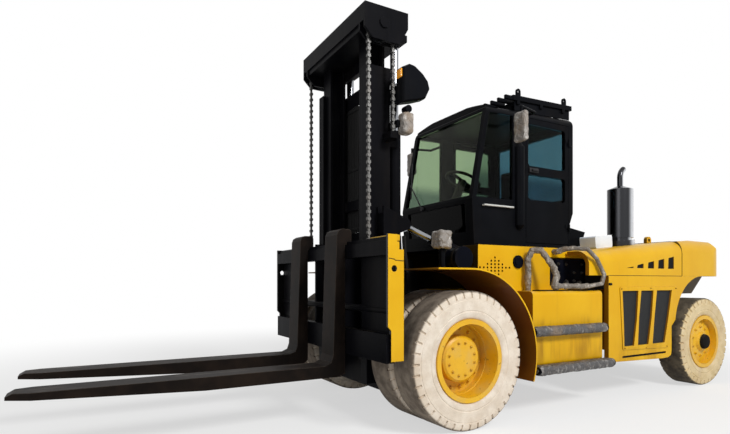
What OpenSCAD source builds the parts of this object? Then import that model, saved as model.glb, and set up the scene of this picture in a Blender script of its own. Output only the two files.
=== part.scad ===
// Heavy counterbalance forklift: two stage mast, twin drive tyres, steer axle at the rear, enclosed cab.
// Millimetres, X forward, Y left, Z up. Lengths along X are measured from the drive axle,
// and shift() then moves the whole part so that its origin is the middle of its footprint.

/* [Wheels] */
// Distance between the drive axle and the steer axle
wheelbase = 3570; // [3540:10:3620]
// Radius of a drive tyre
drive_r = 560; // [550:2:566]
// Width of one drive tyre
drive_w = 300; // [280:5:310]
// Gap between the twin drive tyres
dual_gap = 50; // [44:1:56]
// Half of the width over the drive tyres
drive_out = 1250; // [1240:5:1270]
// Radius of a steer tyre
steer_r = 500; // [480:5:505]
// Width of a steer tyre
steer_w = 290; // [270:5:295]
// Half of the width over the steer tyres
steer_out = 1190; // [1180:2:1196]

/* [Mast] */
// Clearance between the outer rails and the inner drive tyres
mast_gap = 100; // [98:1:110]
// Top of the head on the inner mast
head_top = 3540; // [3500:10:3600]
// Height of that head above the outer mast
head_rise = 440; // [420:5:480]
// Depth of an outer rail from rear to front
rail_depth = 240; // [230:2:244]
// Radius of the chain's pitch line on a sheave
sheave_r = 122; // [116:1:126]
// Radius of a lift cylinder's barrel
lift_r = 58; // [52:1:60]
// Radius of a tilt cylinder's barrel
tilt_r = 60; // [54:1:62]

/* [Carriage and forks] */
// Half of the width over the carriage's end plates
carriage_out = 1190; // [1150:5:1220]
// Top face of the fork blades
fork_top = 490; // [470:5:520]
// Distance of each fork from the middle
fork_y = 400; // [340:10:480]
// Width of a fork
fork_w = 230; // [200:5:250]
// Fork tip in front of the drive axle
fork_tip = 3120; // [2900:20:3300]
// Thickness of a fork at its heel
fork_t = 100; // [90:2:110]

/* [Body] */
// Top of the deck that carries the cab
deck_top = 1530; // [1520:2:1544]
// Half of the width over the rear body
body_out = 1130; // [1110:5:1150]
// Height of the seam between the side panels and the hood
seam_z = 1253; // [1240:1:1260]
// Top of the hood at its rear end
hood_rear_z = 1650; // [1620:5:1680]
// Rear face of the counterweight behind the steer axle
overhang = 630; // [600:5:650]
// Thickness of the hood and of the side panels
skin = 40; // [30:2:50]

/* [Cab] */
// Half of the cab's width
cab_out = 600; // [580:5:610]
// Top of the cab's roof at its front edge
roof_z = 2950; // [2920:5:2980]
// Thickness of the cab's walls and doors
wall = 45; // [36:1:50]
// Thickness of the window glass
glass_t = 8; // [5:1:12]

/* [Fits] */
// Gap around the doors and the hood lid
door_gap = 6; // [5:1:8]
// Radial clearance of a pin or a rod in its bore
run = 0.1; // [0.05:0.01:0.1]
// Gap between parts that are seated on each other along a curve
seat_gap = 0.3; // [0.2:0.05:0.4]

/* [Hidden] */
$fn = 48;
axle_z = drive_r;
steer_x = -wheelbase;
rear_x = steer_x - overhang;
origin_x = -(fork_tip + rear_x) / 2;
king_y = steer_out - 300;
king_r = 35;
drive_mid = [drive_out - drive_w / 2, drive_out - drive_w * 1.5 - dual_gap];
steer_mid = steer_out - steer_w / 2;
// Mast stations
rail_out = drive_out - 2 * drive_w - dual_gap - mast_gap;
outer_top = head_top - head_rise;
mast_rear = 290;
mast_bottom = 300;
pivot = [200, 430];
pivot_r = 35;
lift_x = 200;
lift_y = rail_out - 70;
rod_r = 38;
lift_foot = 760;
barrel_top = outer_top - 540;
flange = 30;
inner_x = [mast_rear + flange + 5, mast_rear + rail_depth - flange - 5];
inner_y = [rail_out - 200, rail_out - flange - 8];
inner_bottom = 490;
inner_top = head_top - 200;
head_in = rail_out + 55;
head_out = rail_out + 163;
sheave = [452, head_top - 140];
sheave_y = [rail_out + 80, rail_out + 135];
chain_t = 36;
chain_y = [sheave_y[0] + 5.5, sheave_y[1] - 5.5];
chain_front = sheave[0] + sheave_r;
chain_rear = sheave[0] - sheave_r;
anchor_z = outer_top - 600;
// Tilt cylinder between the base pin on the frame and the eye on the mast
tilt_y = [rail_out + 35, rail_out + 85];
tilt_base = [-620, 1400];
tilt_eye = [200, 1700];
tilt_len = norm(tilt_eye - tilt_base);
tilt_angle = atan2(tilt_eye[1] - tilt_base[1], tilt_eye[0] - tilt_base[0]);
tilt_rod_r = 32;
tilt_pin_r = 28;
// Carriage
bar_x = [670, 745];
bar_top = [1390, 1500];
bar_low = [585, 800];
end_t = 25;
lip_x = [bar_x[1] - 37, bar_x[1] - 17];
lip_z = bar_top[1] + 30;
fork_x = [bar_x[1] + 5, 860];
// Body stations
frame_y = [rail_out - 110, rail_out - 70];
frame_rear = steer_x + 470;
axle_half = drive_out - 660;
fender_r = 742;
fender_top = axle_z + fender_r;
fender_y = [rail_out + 146, drive_out + 4];
arch = [steer_x - 50, steer_r + 200];
arch_r = seam_z - arch[1];
panel_in = body_out - 50;
panel_front = -1895;
hood_front = -2050;
wing_x = -1595;
cw_front = steer_x + 370;
bay = (panel_front - cw_front) / 1305;
hood_len = hood_front - cw_front;
muffler_x = cw_front + 460 * bay;
hood_front_z = 1538;
slope = atan2(hood_rear_z - hood_front_z, hood_front - cw_front);
lid_out = 515;
tank_x = [-1765, -fender_r - 58];
tank_out = drive_out - 100;
tank_z = [420, 1105];
deck_x = [-2045, -430];
deck_y = [rail_out + 140, rail_out + 350];
valve_x = [-1960, -1372];
valve_z = [1150, 1434];
// Cab outline, from the lower front corner up over the roof and down the rear wall
cab_front = -580;
cab_rear = -2035;
cab_side = [[cab_front - 25, deck_top + 30], [cab_front, 2000], [cab_front - 185, roof_z - 40],
    [cab_front - 225, roof_z], [cab_rear + 20, roof_z + 40], [cab_rear, roof_z], [cab_rear, 1945],
    [cab_rear + 55, 1812], [cab_rear + 60, deck_top + 30]];
roof_slope = atan2(40, cab_front - 245 - cab_rear);
cab_floor = max(cab_out + 60, deck_y[0] + 20);
door_x = [-1955, -1312];
door_z = [deck_top + 65, roof_z - 62];
sill_z = [2045, 2305];
belt_z = [2395, roof_z - 120];
mirror_z = roof_z - 100;
// Hinges of the doors and of the hood lid
hinge_r = 11;
hinge_z = [door_z[0] + 180, door_z[1] - 180];
door_hinge = [door_x[0] - 3, cab_out + 12];
lid_hinge = [cw_front + 3, hood_rear_z + hinge_r + 1];

// Louvre openings: distances behind the panel's front edge of the front and rear sides
// at the top, in the middle and at the bottom
LOUVRES = [[216, 484, 235, 458, 247, 407], [535, 752, 496, 717, 475, 658], [816, 1096, 770, 1030, 735, 955]];
// Hood vents: distance behind the panel's front edge, height at the front and at the rear side
VENTS = [[297, 2, 15], [471, 32, 50], [660, 62, 80], [847, 90, 108], [1034, 118, 136]];
// Grab rail on the left side: a bent tube from the deck over the tank and back up to the hood
rail_y = deck_y[1] + 55;
bend_y = body_out + 35;
RAIL = [[-1005, rail_y, tank_z[1]], [-1005, rail_y, 1400], [-1035, rail_y + 20, 1490], [-1095, rail_y + 80, 1485],
    [-1165, rail_y + 155, 1340], [-1185, rail_y + 185, 1240], [-1140, rail_y + 195, 1150], [-1560, bend_y - 5, 1150],
    [-1735, bend_y + 2, 1172], [-1770, bend_y + 2, 1262], [-1660, bend_y, 1415], [-1545, bend_y - 15, 1505],
    [-1490, rail_y + 145, 1515], [-1440, rail_y + 45, 1510], [-1425, rail_y + 5, 1490], [-1425, deck_y[1], 1490]];

// Helpers

module shift() { translate([origin_x, 0, 0]) children(); }

// A box from low and high limits along each axis
module block(x, y, z) {
    translate([x[0], y[0], z[0]]) cube([x[1] - x[0], y[1] - y[0], z[1] - z[0]]);
}

// An outline in X and Z, drawn out along Y
module plate_y(y) { translate([0, y[1], 0]) rotate([90, 0, 0]) linear_extrude(y[1] - y[0]) children(); }

// An outline in Y and Z, drawn out along X
module plate_x(x) { translate([x[0], 0, 0]) rotate([90, 0, 90]) linear_extrude(x[1] - x[0]) children(); }

// A round bar along Y
module bar_y(p, r, y) { translate([p[0], y[1], p[1]]) rotate([90, 0, 0]) cylinder(r = r, h = y[1] - y[0]); }

// A round bar along X
module bar_x(p, r, x) { translate([x[0], p[0], p[1]]) rotate([0, 90, 0]) cylinder(r = r, h = x[1] - x[0]); }

// A profile of radius and Y, turned about a wheel's axis
module wheel_y(x, z) { translate([x, 0, z]) rotate([-90, 0, 0]) rotate_extrude($fn = 64) children(); }

module pair() { children(); mirror([0, 1, 0]) children(); }

module right() { mirror([0, 1, 0]) children(); }

// The plane of the hood's top, with its front edge as origin
module hood_plane() { translate([hood_front, 0, hood_front_z]) rotate([0, slope, 0]) children(); }

// The plane of the cab's roof, with its front edge as origin
module roof_plane() { translate([cab_front - 225, 0, roof_z]) rotate([0, roof_slope, 0]) children(); }

// Section of a body below its top, with rounded upper edges
module body_section(out, top, r, deep = 600) translate([0, top]) {
    translate([-out, -deep]) square([2 * out, deep - r]);
    translate([-out + r, -deep]) square([2 * (out - r), deep]);
    for (s = [-1, 1]) translate([s * (out - r), -r]) circle(r);
}

// A rectangle with rounded corners
module soft(x, z, r) {
    translate([x[0] + r, z[0]]) square([x[1] - x[0] - 2 * r, z[1] - z[0]]);
    translate([x[0], z[0] + r]) square([x[1] - x[0], z[1] - z[0] - 2 * r]);
    for (i = [x[0] + r, x[1] - r], j = [z[0] + r, z[1] - r]) translate([i, j]) circle(r);
}

// A round tube through a list of points
module tube(points, r) {
    for (i = [0:len(points) - 2]) {
        d = points[i + 1] - points[i];
        translate(points[i]) rotate([0, acos(d[2] / norm(d)), atan2(d[1], d[0])]) cylinder(r = r, h = norm(d));
        if (i > 0) translate(points[i]) sphere(r * 1.04);
    }
}

// Chassis

module frame() color("#2b2b2c") {
    pair() {
        difference() {
            union() {
                plate_y(frame_y) polygon([[frame_rear, 480], [frame_rear, 1080], [0, 1080], [55, 720], [110, 600],
                    [pivot[0] - 30, pivot[1] + 46], [pivot[0] - 30, pivot[1] - 46], [0, 385], [-400, 420]]);
                bar_y(pivot, 55, frame_y);
            }
            bar_y([0, axle_z], 130 + seat_gap, [frame_y[0] - 1, frame_y[1] + 1]);
        }
        bar_y(pivot, pivot_r, [frame_y[0] - 42, frame_y[1] + 44]);
        // Tilt cylinder brackets on a shelf
        block([-760, -570], [frame_y[1], tilt_y[1] + 55], [1050, 1080]);
        for (y = [[tilt_y[0] - 30, tilt_y[0] - 5], [tilt_y[1] + 5, tilt_y[1] + 30]])
            plate_y(y) {
                translate(tilt_base) circle(50);
                polygon([[-760, 1080], [-570, 1080], [tilt_base[0] + 48, tilt_base[1]],
                    [tilt_base[0] - 48, tilt_base[1]]]);
            }
        bar_y(tilt_base, 30, [tilt_y[0] - 30, tilt_y[1] + 30]);
    }
    block([-60, -30], [-frame_y[0], frame_y[0]], [820, 1080]);
    for (x = [-760, -1420]) block([x - 60, x], [-frame_y[0], frame_y[0]], [700, 820]);
    block([frame_rear, frame_rear + 40], [-frame_y[0], frame_y[0]], [480, 640]);
}

module drive_axle() color("#2e2e30") {
    wheel_y(0, axle_z) polygon([[0, -axle_half], [150, -axle_half], [150, 30 - axle_half], [130, 50 - axle_half],
        [130, -frame_y[0] * 0.85], [235, -frame_y[0] * 0.38], [235, frame_y[0] * 0.38], [130, frame_y[0] * 0.85],
        [130, axle_half - 50], [150, axle_half - 30], [150, axle_half], [0, axle_half]]);
    pair() bar_y([0, axle_z], 60, [axle_half - 10, drive_out - 290]);
    bar_x([0, axle_z], 90, [-330, -200]);
}

module fenders() color("#deb21e") pair() difference() {
    union() {
        bar_y([0, axle_z], fender_r, fender_y);
        block([0, 330], fender_y, [axle_z + fender_r - 14, axle_z + fender_r]);
    }
    difference() {
        bar_y([0, axle_z], fender_r - 14, [fender_y[0] - 10, fender_y[1] + 10]);
        block([0, 800], [fender_y[0] - 10, fender_y[1] + 10], [axle_z + fender_r - 14, 2000]);
    }
    block([0, fender_r + 160], [fender_y[0] - 10, fender_y[1] + 10], [-fender_r, axle_z + fender_r - 14]);
    block([-fender_r - 160, 10], [fender_y[0] - 10, fender_y[1] + 10], [-fender_r, 330]);
}

module deck() color("#deb21e") pair() difference() {
    block(deck_x, deck_y, [tank_z[1], deck_top]);
    bar_y([0, axle_z], fender_r + seat_gap, [deck_y[0] - 5, deck_y[1] + 5]);
    // Recess for the valve panel
    block(valve_x, [deck_y[1] - 60, deck_y[1] + 5], valve_z);
    // Diamond of small holes in front of the filler cap
    for (i = [-4:4], j = [-3:3]) if (abs(i) / 4 + abs(j) / 3 <= 1)
        bar_y([-637 + 46 * i, 1322 + 31 * j], 10, [deck_y[1] - 25, deck_y[1] + 5]);
}

module battery_boxes() color("#151515") pair() {
    block([valve_x[0] + 10, valve_x[1] - 10], [deck_y[1] - 60, deck_y[1] - 25], [valve_z[0] + 10, valve_z[1] - 10]);
    // Filler cap
    bar_y([-925, 1380], 62, [deck_y[1], deck_y[1] + 16]);
    bar_y([-925, 1380], 46, [deck_y[1] + 15, deck_y[1] + 24]);
}

module side_tanks() color("#deb21e") pair() plate_x(tank_x) {
    translate([frame_y[1], tank_z[0]]) square([tank_out - frame_y[1] - 40, tank_z[1] - tank_z[0]]);
    translate([tank_out - 41, tank_z[0] + 40]) square([41, tank_z[1] - tank_z[0] - 80]);
    for (z = [tank_z[0] + 40, tank_z[1] - 40]) translate([tank_out - 40, z]) circle(40);
}

module steps() color("#3a3b3d") pair() {
    step_tread([tank_x[0] + 15, tank_x[1] + 50], 85, [712, 786]);
    step_tread([tank_x[0] - 60, tank_x[1] + 20], 105, [370, 442]);
    // Shelf that carries the lower tread under the tank
    block([tank_x[0] + 30, tank_x[1] - 30], [tank_out - 160, tank_out], [370, tank_z[0]]);
    // Dark tread strip along the top of the tank
    block([tank_x[0] + 20, tank_x[1] - 150], [tank_out - 140, tank_out - 42], [tank_z[1], tank_z[1] + 10]);
}

// A tread with a round nose that stands out from the tank
module step_tread(x, out, z) {
    r = (z[1] - z[0]) / 2;
    block(x, [tank_out, tank_out + out - r], z);
    bar_x([tank_out + out - r, z[0] + r], r, x);
}

module grab_rails() color("#8d9095") pair() {
    tube(RAIL, 20);
    // Handle under the quarter window
    bar_x([cab_out + 32, 1940], 9, [-1098, -704]);
    for (x = [-1085, -717]) bar_y([x, 1940], 7, [cab_out, cab_out + 32]);
}

// Outline in X and Z that leaves room for the steer wheel
module wheel_arch() {
    translate(arch) circle(arch_r);
    polygon([[steer_x + 575, 300], [steer_x + 575, arch[1] - 270], [arch[0] + sqrt(arch_r ^ 2 - 120 ^ 2), arch[1] + 120],
        [arch[0], arch[1] + 120], [arch[0], 300]]);
    translate([arch[0] - 1000, 300]) square([1000, seam_z - 300]);
}

module side_panels() color("#deb21e") pair() {
    difference() {
        union() {
            plate_y([panel_in, body_out]) polygon([[panel_front, 382], [panel_front - 930 * bay, 356],
                [steer_x + 630, 362], [steer_x + 585, 385], [steer_x + 575, 430], [steer_x + 575, 700],
                [arch[0], seam_z], [panel_front, seam_z]]);
            // Raised door around the louvres
            plate_y([body_out - 10, body_out + 6]) polygon([for (p = [[175, 1125], [185, 1136], [1172, 1136],
                [1194, 1120], [1198, 1080], [1016, 480], [1004, 469], [232, 492], [222, 504]])
                [panel_front - p[0] * bay, p[1]]]);
        }
        plate_y([panel_in - 5, body_out + 15]) wheel_arch();
        plate_y([panel_in - 5, body_out + 15]) louvres();
        block([panel_front - 988 * bay, panel_front - 222 * bay], [panel_in - 5, body_out + 15], [408, 430]);
    }
    block([hood_front - 25, hood_front], [frame_y[1], panel_in], [480, seam_z]);
}

// Three openings that lean to the rear in each side panel
module louvres() for (p = LOUVRES) translate([panel_front, 0])
    polygon([[-p[0] * bay, 1096], [-p[1] * bay, 1096], [-p[3] * bay, 805], [-p[5] * bay, 526],
        [-p[4] * bay, 526], [-p[2] * bay, 812]]);

module grilles() color("#141414") pair() plate_y([panel_in - 12, panel_in])
    polygon([[hood_front - 45, 1112], [panel_front - 1112 * bay, 1112], [panel_front - 965 * bay, 500],
        [hood_front - 45, 500]]);

module hood_sides() color("#deb21e") difference() {
    intersection() {
        union() {
            block([cw_front, hood_front], [-body_out - 5, body_out + 5], [seam_z, 2000]);
            pair() block([hood_front - 20, wing_x], [deck_y[1] + 25, body_out + 5], [seam_z, 2000]);
        }
        union() {
            hood_plane() difference() {
                plate_x([-hood_len - 350, wing_x - hood_front + 65]) body_section(body_out, 0, 140);
                plate_x([-hood_len - 450, wing_x - hood_front + 165]) body_section(body_out - skin, -skin, 100);
            }
            block([hood_front - 20, hood_front], [-body_out + 30, body_out - 30], [seam_z, hood_front_z - 60]);
        }
    }
    hood_plane() block([-hood_len - 450, 300], [-lid_out - door_gap, lid_out + door_gap], [-skin - door_gap, 100]);
    vents();
}

// Five vents in each side of the hood, growing towards the rear
module vents() pair() for (p = VENTS)
    plate_y([body_out - 60, body_out + 20]) translate([panel_front - p[0] * bay, 1332])
        polygon([[0, 0], [-112 * bay, 0], [-112 * bay, p[2]], [-8 * bay, p[1]]]);

module hood_lid() color("#deb21e") {
    intersection() {
        block([cw_front + door_gap, hood_front + 5], [-lid_out, lid_out], [seam_z, 2000]);
        hood_plane() block([-hood_len - 350, 200], [-lid_out, lid_out], [-skin, 0]);
    }
    pair() {
        bar_y(lid_hinge, hinge_r, [400, 450]);
        block([lid_hinge[0] + 4, lid_hinge[0] + 70], [400, 450], [hood_rear_z - 14, hood_rear_z + 6]);
    }
}

module counterweight() color("#deb21e") {
    difference() {
        intersection() {
            plate_y([-body_out, body_out]) polygon([[cw_front, seam_z], [cw_front, hood_rear_z],
                [cw_front - 90, hood_rear_z], [cw_front - 300, hood_rear_z + 22], [rear_x + 200, hood_rear_z + 12],
                [rear_x + 60, hood_rear_z - 45], [rear_x, hood_rear_z - 160], [rear_x, seam_z + 40],
                [rear_x + 30, seam_z]]);
            plate_x([rear_x - 10, cw_front + 10]) body_section(body_out, hood_rear_z + 30, 150);
            linear_extrude(3000) {
                translate([rear_x + 340, -body_out]) square([cw_front - rear_x - 340, 2 * body_out]);
                translate([rear_x, -body_out + 340]) square([400, 2 * body_out - 680]);
                for (s = [-1, 1]) translate([rear_x + 340, s * (body_out - 340)]) circle(340);
            }
        }
        // Bevelled top corners at the rear
        for (s = [-1, 1]) translate([rear_x + 192, s * (body_out - 34), hood_rear_z - 85])
            rotate([0, 45, s * 135]) translate([-500, -500, 0]) cube([1000, 1000, 400]);
    }
    // Sloped underside above the steer wheels
    plate_y([-king_y + 10, king_y - 10]) polygon([[steer_x + 60, seam_z], [steer_x + 60, 2 * steer_r + 45],
        [rear_x + 330, 2 * steer_r + 45], [rear_x + 90, seam_z]]);
    // Lower block between the steer wheels, notched for the axle beam
    difference() {
        union() {
            block([cw_front + 20, frame_rear], [-frame_y[1], frame_y[1]], [480, 1300]);
            block([rear_x + 110, cw_front + 20], [-285, 285], [330, 1300]);
        }
        block([steer_x - 240, steer_x + 100], [-300, 300], [300, steer_r + 110]);
    }
    pair() {
        // Hinge of the hood lid
        bar_y(lid_hinge, hinge_r, [450 + seat_gap, 500]);
        block([lid_hinge[0] - 70, lid_hinge[0]], [450 + seat_gap, 500], [hood_rear_z, hood_rear_z + 8]);
        // Lifting eye
        plate_y([640, 680]) difference() {
            union() {
                translate([cw_front - 120, hood_rear_z + 42]) circle(45);
                translate([cw_front - 165, hood_rear_z - 20]) square([90, 62]);
            }
            translate([cw_front - 120, hood_rear_z + 42]) circle(20);
        }
    }
    // Tow hitch with two ears
    for (z = [[640, 665], [745, 770]]) difference() {
        block([rear_x + 20, rear_x + 110], [-70, 70], z);
        translate([rear_x + 60, 0, z[0] - 1]) cylinder(r = 25, h = 40);
    }
}

module engine() color("#3c3d3f") {
    block([panel_front - 1005 * bay, hood_front - 40], [-frame_y[0] * 0.77, frame_y[0] * 0.77], [560, 1240]);
    block([panel_front - 1005 * bay, hood_front - 40], [-frame_y[0], frame_y[0]], [600, 700]);
    block([hood_front - 40, -1500], [-frame_y[0] * 0.615, frame_y[0] * 0.615], [480, 900]);
    bar_x([0, axle_z], 45, [-1500, -330]);
}

// Cab

module cab_shell() color("#202122") {
    difference() {
        intersection() {
            plate_y([-cab_out, cab_out]) polygon(cab_side);
            roof_plane() plate_x([-1600, 500]) body_section(cab_out, 0, 90, 2000);
        }
        plate_y([-cab_out + wall, cab_out - wall]) offset(delta = -wall) polygon(cab_side);
        // Windscreen, rear window, quarter windows and door openings
        block([cab_front - 300, cab_front + 50], [-cab_out + 50, cab_out - 50], [2030, roof_z - 70]);
        block([cab_front - 300, cab_front + 50], [-cab_out + 110, cab_out - 110], [1680, 1960]);
        block([cab_rear - 10, cab_rear + wall + 20], [-cab_out + 90, cab_out - 90], [2100, roof_z - 100]);
        pair() plate_y([cab_out - wall - 5, cab_out + 5]) quarter(0);
        pair() block([door_x[0] - door_gap, door_x[1] + door_gap], [cab_out - wall - 5, cab_out + 5],
            [door_z[0] - door_gap, door_z[1] + door_gap]);
    }
    block([cab_rear + 60, cab_front - 25], [-cab_floor, cab_floor], [deck_top, deck_top + 30]);
    // Raised front edge of the roof, arched from side to side
    intersection() {
        plate_y([-cab_out + 25, cab_out - 25]) polygon([[cab_front - 194, roof_z - 36], [cab_front - 206, roof_z + 40],
            [cab_front - 255, roof_z + 55], [cab_front - 470, roof_z + 12], [cab_front - 300, roof_z - 15]]);
        plate_x([cab_front - 500, cab_front - 150]) translate([0, roof_z + 55 - 2750]) circle(2750);
    }
    pair() {
        for (z = hinge_z) {
            translate([door_hinge[0], door_hinge[1], z - 40]) cylinder(r = hinge_r, h = 40 - seat_gap);
            block([door_hinge[0] - 50, door_hinge[0]], [cab_out, cab_out + 8], [z - 40, z - seat_gap]);
        }
        // Round bar on the post in front of the door
        translate([-1205, cab_out + 7, 0]) {
            translate([0, 0, 1725]) cylinder(r1 = 24, r2 = 52, h = 40);
            translate([0, 0, 1765]) cylinder(r = 52, h = 800);
            translate([0, 0, 2565]) cylinder(r1 = 52, r2 = 24, h = 40);
        }
        // Bracket behind the cab
        plate_y([lid_out + 13, lid_out + 39]) polygon([[cab_rear + 56, 1800], [cab_rear - 265, 1752],
            [cab_rear - 195, 1590], [cab_rear + 56, 1572]]);
    }
}

// Fixed side window in front of the door
module quarter(gap) offset(delta = -gap)
    polygon([[-1118, 2020], [-636, 2020], [-648, 2075], [-806, roof_z - 82], [-1124, roof_z - 72]]);

module cab_windows() color("#2c3a34") {
    pair() plate_y([cab_out - wall / 2 - glass_t / 2, cab_out - wall / 2 + glass_t / 2]) quarter(seat_gap);
    // The windscreen follows the slope between the sill and the roof
    intersection() {
        plate_y([-cab_out + 50 + seat_gap, cab_out - 50 - seat_gap])
            translate([-20, 0]) polygon([[cab_front, 2000], [cab_front - 185, roof_z - 40],
                [cab_front - 185 - glass_t, roof_z - 40], [cab_front - glass_t, 2000]]);
        block([-2000, 0], [-900, 900], [2030 + seat_gap, roof_z - 70 - seat_gap]);
    }
    plate_y([-cab_out + 110 + seat_gap, cab_out - 110 - seat_gap]) intersection() {
        translate([-20, 0]) polygon([[cab_front - 25, deck_top + 30], [cab_front, 2000],
            [cab_front - glass_t, 2000], [cab_front - 25 - glass_t, deck_top + 30]]);
        translate([-1000, 1680 + seat_gap]) square([900, 280 - 2 * seat_gap]);
    }
    block([cab_rear + 18, cab_rear + 18 + glass_t], [-cab_out + 90 + seat_gap, cab_out - 90 - seat_gap],
        [2100 + seat_gap, roof_z - 100 - seat_gap]);
}

module door_panel(y0, y1) block(door_x, [y0, y1], door_z);

module door() difference() {
    door_panel(cab_out - wall, cab_out);
    door_openings(cab_out - wall - 5, cab_out + 5, 0);
}

module door_with_hinges() {
    door();
    for (z = hinge_z) {
        translate([door_hinge[0], door_hinge[1], z]) cylinder(r = hinge_r, h = 40);
        block([door_hinge[0], door_hinge[0] + 50], [cab_out, cab_out + 8], [z, z + 40]);
    }
}

// Upper and lower window of a door
module door_openings(y0, y1, gap) for (z = [belt_z, sill_z]) plate_y([y0, y1])
    soft([door_x[0] + 46 + gap, door_x[1] - 30 - gap], [z[0] + gap, z[1] - gap], 36 - gap);

module door_glass() door_openings(cab_out - wall / 2 - glass_t / 2, cab_out - wall / 2 + glass_t / 2, seat_gap);

module door_left() color("#202122") door_with_hinges();

module door_right() color("#202122") right() door_with_hinges();

module door_glass_left() color("#2c3a34") door_glass();

module door_glass_right() color("#2c3a34") right() door_glass();

module roof_guard() color("#1c1c1c") roof_plane() {
    for (i = [-3:3]) block([-1165, -400], [i * 145 - 14, i * 145 + 14], [100, 138]);
    for (x = [-1125, -780, -440]) {
        block([x - 20, x + 20], [-565, 565], [62, 100]);
        for (y = [-480, 435]) block([x - 20, x + 20], [y, y + 45], [0, 62]);
    }
    pair() {
        block([-1260, -365], [530, 565], [100, 150]);
        // Lifting eyes
        for (x = [-1150, -450]) plate_y([540, 558]) difference() {
            union() {
                translate([x, 196]) circle(30);
                translate([x - 30, 148]) square([60, 48]);
            }
            translate([x, 196]) circle(14);
        }
    }
}

module seat() color("#1a1a1c") {
    block([-1700, -1250], [-170, 170], [deck_top + 30 + wall, deck_top + 260]);
    block([-1760, -1200], [-250, 250], [deck_top + 260, deck_top + 390]);
    block([-1820, -1700], [-240, 240], [deck_top + 390, deck_top + 1010]);
}

module controls() color("#1b1b1d") {
    block([-820, -700], [-300, 300], [deck_top + 30 + wall, deck_top + 420]);
    translate([-800, 0, deck_top + 390]) rotate([0, -25, 0]) {
        cylinder(r = 45, h = 420);
        translate([0, 0, 420]) rotate_extrude() translate([185, 0]) circle(16);
        translate([-185, -16, 410]) cube([370, 32, 20]);
    }
    block([-1650, -1150], [-470, -330], [deck_top + 30 + wall, deck_top + 430]);
    for (i = [0:2]) translate([-1250 - 90 * i, -400, deck_top + 430]) cylinder(r = 12, h = 160);
}

module mirrors() color("#7f8388") pair() {
    tube([[-1170, cab_out, mirror_z], [-1170, cab_out + 240, mirror_z], [-925, cab_out + 300, mirror_z]], 14);
    plate_x([-940, -905]) soft([cab_out + 225, cab_out + 375], [mirror_z - 360, mirror_z - 20], 55);
    block([-935, -910], [cab_out + 285, cab_out + 315], [mirror_z - 40, mirror_z + 8]);
}

module muffler() color("#b9bcc0") {
    hood_plane() translate([muffler_x - hood_front, 690, 0]) cylinder(r = 155, h = 60);
    translate([muffler_x, 690, 0]) {
        translate([0, 0, hood_front_z + 105]) cylinder(r = 120, h = 60);
        translate([0, 0, hood_front_z + 155]) cylinder(r = 138, h = 560);
        translate([0, 0, hood_front_z + 715]) cylinder(r1 = 138, r2 = 40, h = 40);
        translate([0, 0, hood_front_z + 755]) cylinder(r = 33, h = 100);
        translate([-120, 0, hood_front_z + 855]) rotate([90, 0, 0]) rotate_extrude(angle = 60)
            translate([120, 0]) circle(33);
    }
}

module header_tank() color("#c9cccf") hood_plane() plate_y([560, 760]) 
    soft([muffler_x - hood_front + 155 + 85 * bay, -160 * bay * bay], [0, 135], 18);

module air_tank() color("#151516") pair() {
    bar_y([-260, fender_top + 98], 105, [deck_y[0], deck_y[1] + 10]);
    difference() {
        block([-300, -220], [deck_y[0] + 60, deck_y[0] + 160], [fender_top - 102, fender_top + 78]);
        bar_y([0, axle_z], fender_r + seat_gap, [deck_y[0] + 50, deck_y[0] + 170], $fn = 192);
    }
}

module lamps() color("#8a8d90") pair() {
    plate_x([-75, 90]) soft([820, 980], [fender_top + 176, fender_top + 320], 28);
    block([0, 40], [880, 920], [fender_top, fender_top + 178]);
}

// Steer axle

module steer_axle() color("#2e2e30") translate([steer_x, 0, steer_r]) {
    block([-90, 90], [-king_y + 60, king_y - 60], [-80, 80]);
    block([-90, 90], [-200, 200], [80, 110]);
    pair() {
        translate([0, king_y, -80]) cylinder(r = 75, h = 160);
        translate([0, king_y, -150]) cylinder(r = king_r, h = 300);
    }
    // Steering cylinder behind the beam
    difference() {
        bar_y([-170, -150], 55, [-330, 330]);
        bar_y([-170, -150], 25 + run, [-340, 340]);
    }
    for (y = [-260, 200]) block([-190, -90], [y, y + 60], [-96, -40]);
}

module steer_rod() color("#c5c8cb") translate([steer_x, 0, steer_r]) {
    bar_y([-170, -150], 25, [-570, 570]);
    pair() translate([-170, 595, -170]) cylinder(r = 36, h = 40);
}

module knuckle() translate([steer_x, king_y, steer_r]) {
    difference() {
        union() {
            for (z = [85, -130]) translate([0, 0, z]) cylinder(r = 75, h = 45);
            for (z = [[85, 130], [-130, -85]]) block([-60, 60], [0, 120], z);
            block([-60, 60], [80, 120], [-130, 130]);
            // Steering arm
            block([-200, -20], [-50, 20], [-130, -100]);
        }
        translate([0, 0, -200]) cylinder(r = king_r + run, h = 400);
    }
    bar_y([0, 0], 45, [115, 210]);
}

module knuckle_left() color("#353638") knuckle();

module knuckle_right() color("#353638") right() knuckle();

// Wheels. A profile lists radius and distance from the middle plane of the part.

module tyre_profile(mid, half, r, seat, lip) {
    polygon([[seat + seat_gap, mid - half + 30], [lip + 4, mid - half + 30], [lip + 14, mid - half + 16],
        [lip + 60, mid - half], [r - 55, mid - half], [r - 14, mid - half + 16], [r, mid - half + 44],
        [r, mid + half - 44], [r - 14, mid + half - 16], [r - 55, mid + half], [lip + 60, mid + half],
        [lip + 14, mid + half - 16], [lip + 4, mid + half - 30], [seat + seat_gap, mid + half - 30]]);
}

module rim_profile(mid, half, seat, lip) {
    polygon([[seat - 22, mid - half + 8], [lip, mid - half + 8], [lip, mid - half + 29.7], [seat, mid - half + 29.7],
        [seat, mid + half - 29.7], [lip, mid + half - 29.7], [lip, mid + half - 8], [seat - 22, mid + half - 8]]);
}

module drive_tyres() for (m = drive_mid) wheel_y(0, axle_z)
    tyre_profile(m, drive_w / 2, drive_r, drive_r - 245, drive_r - 225);

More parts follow.
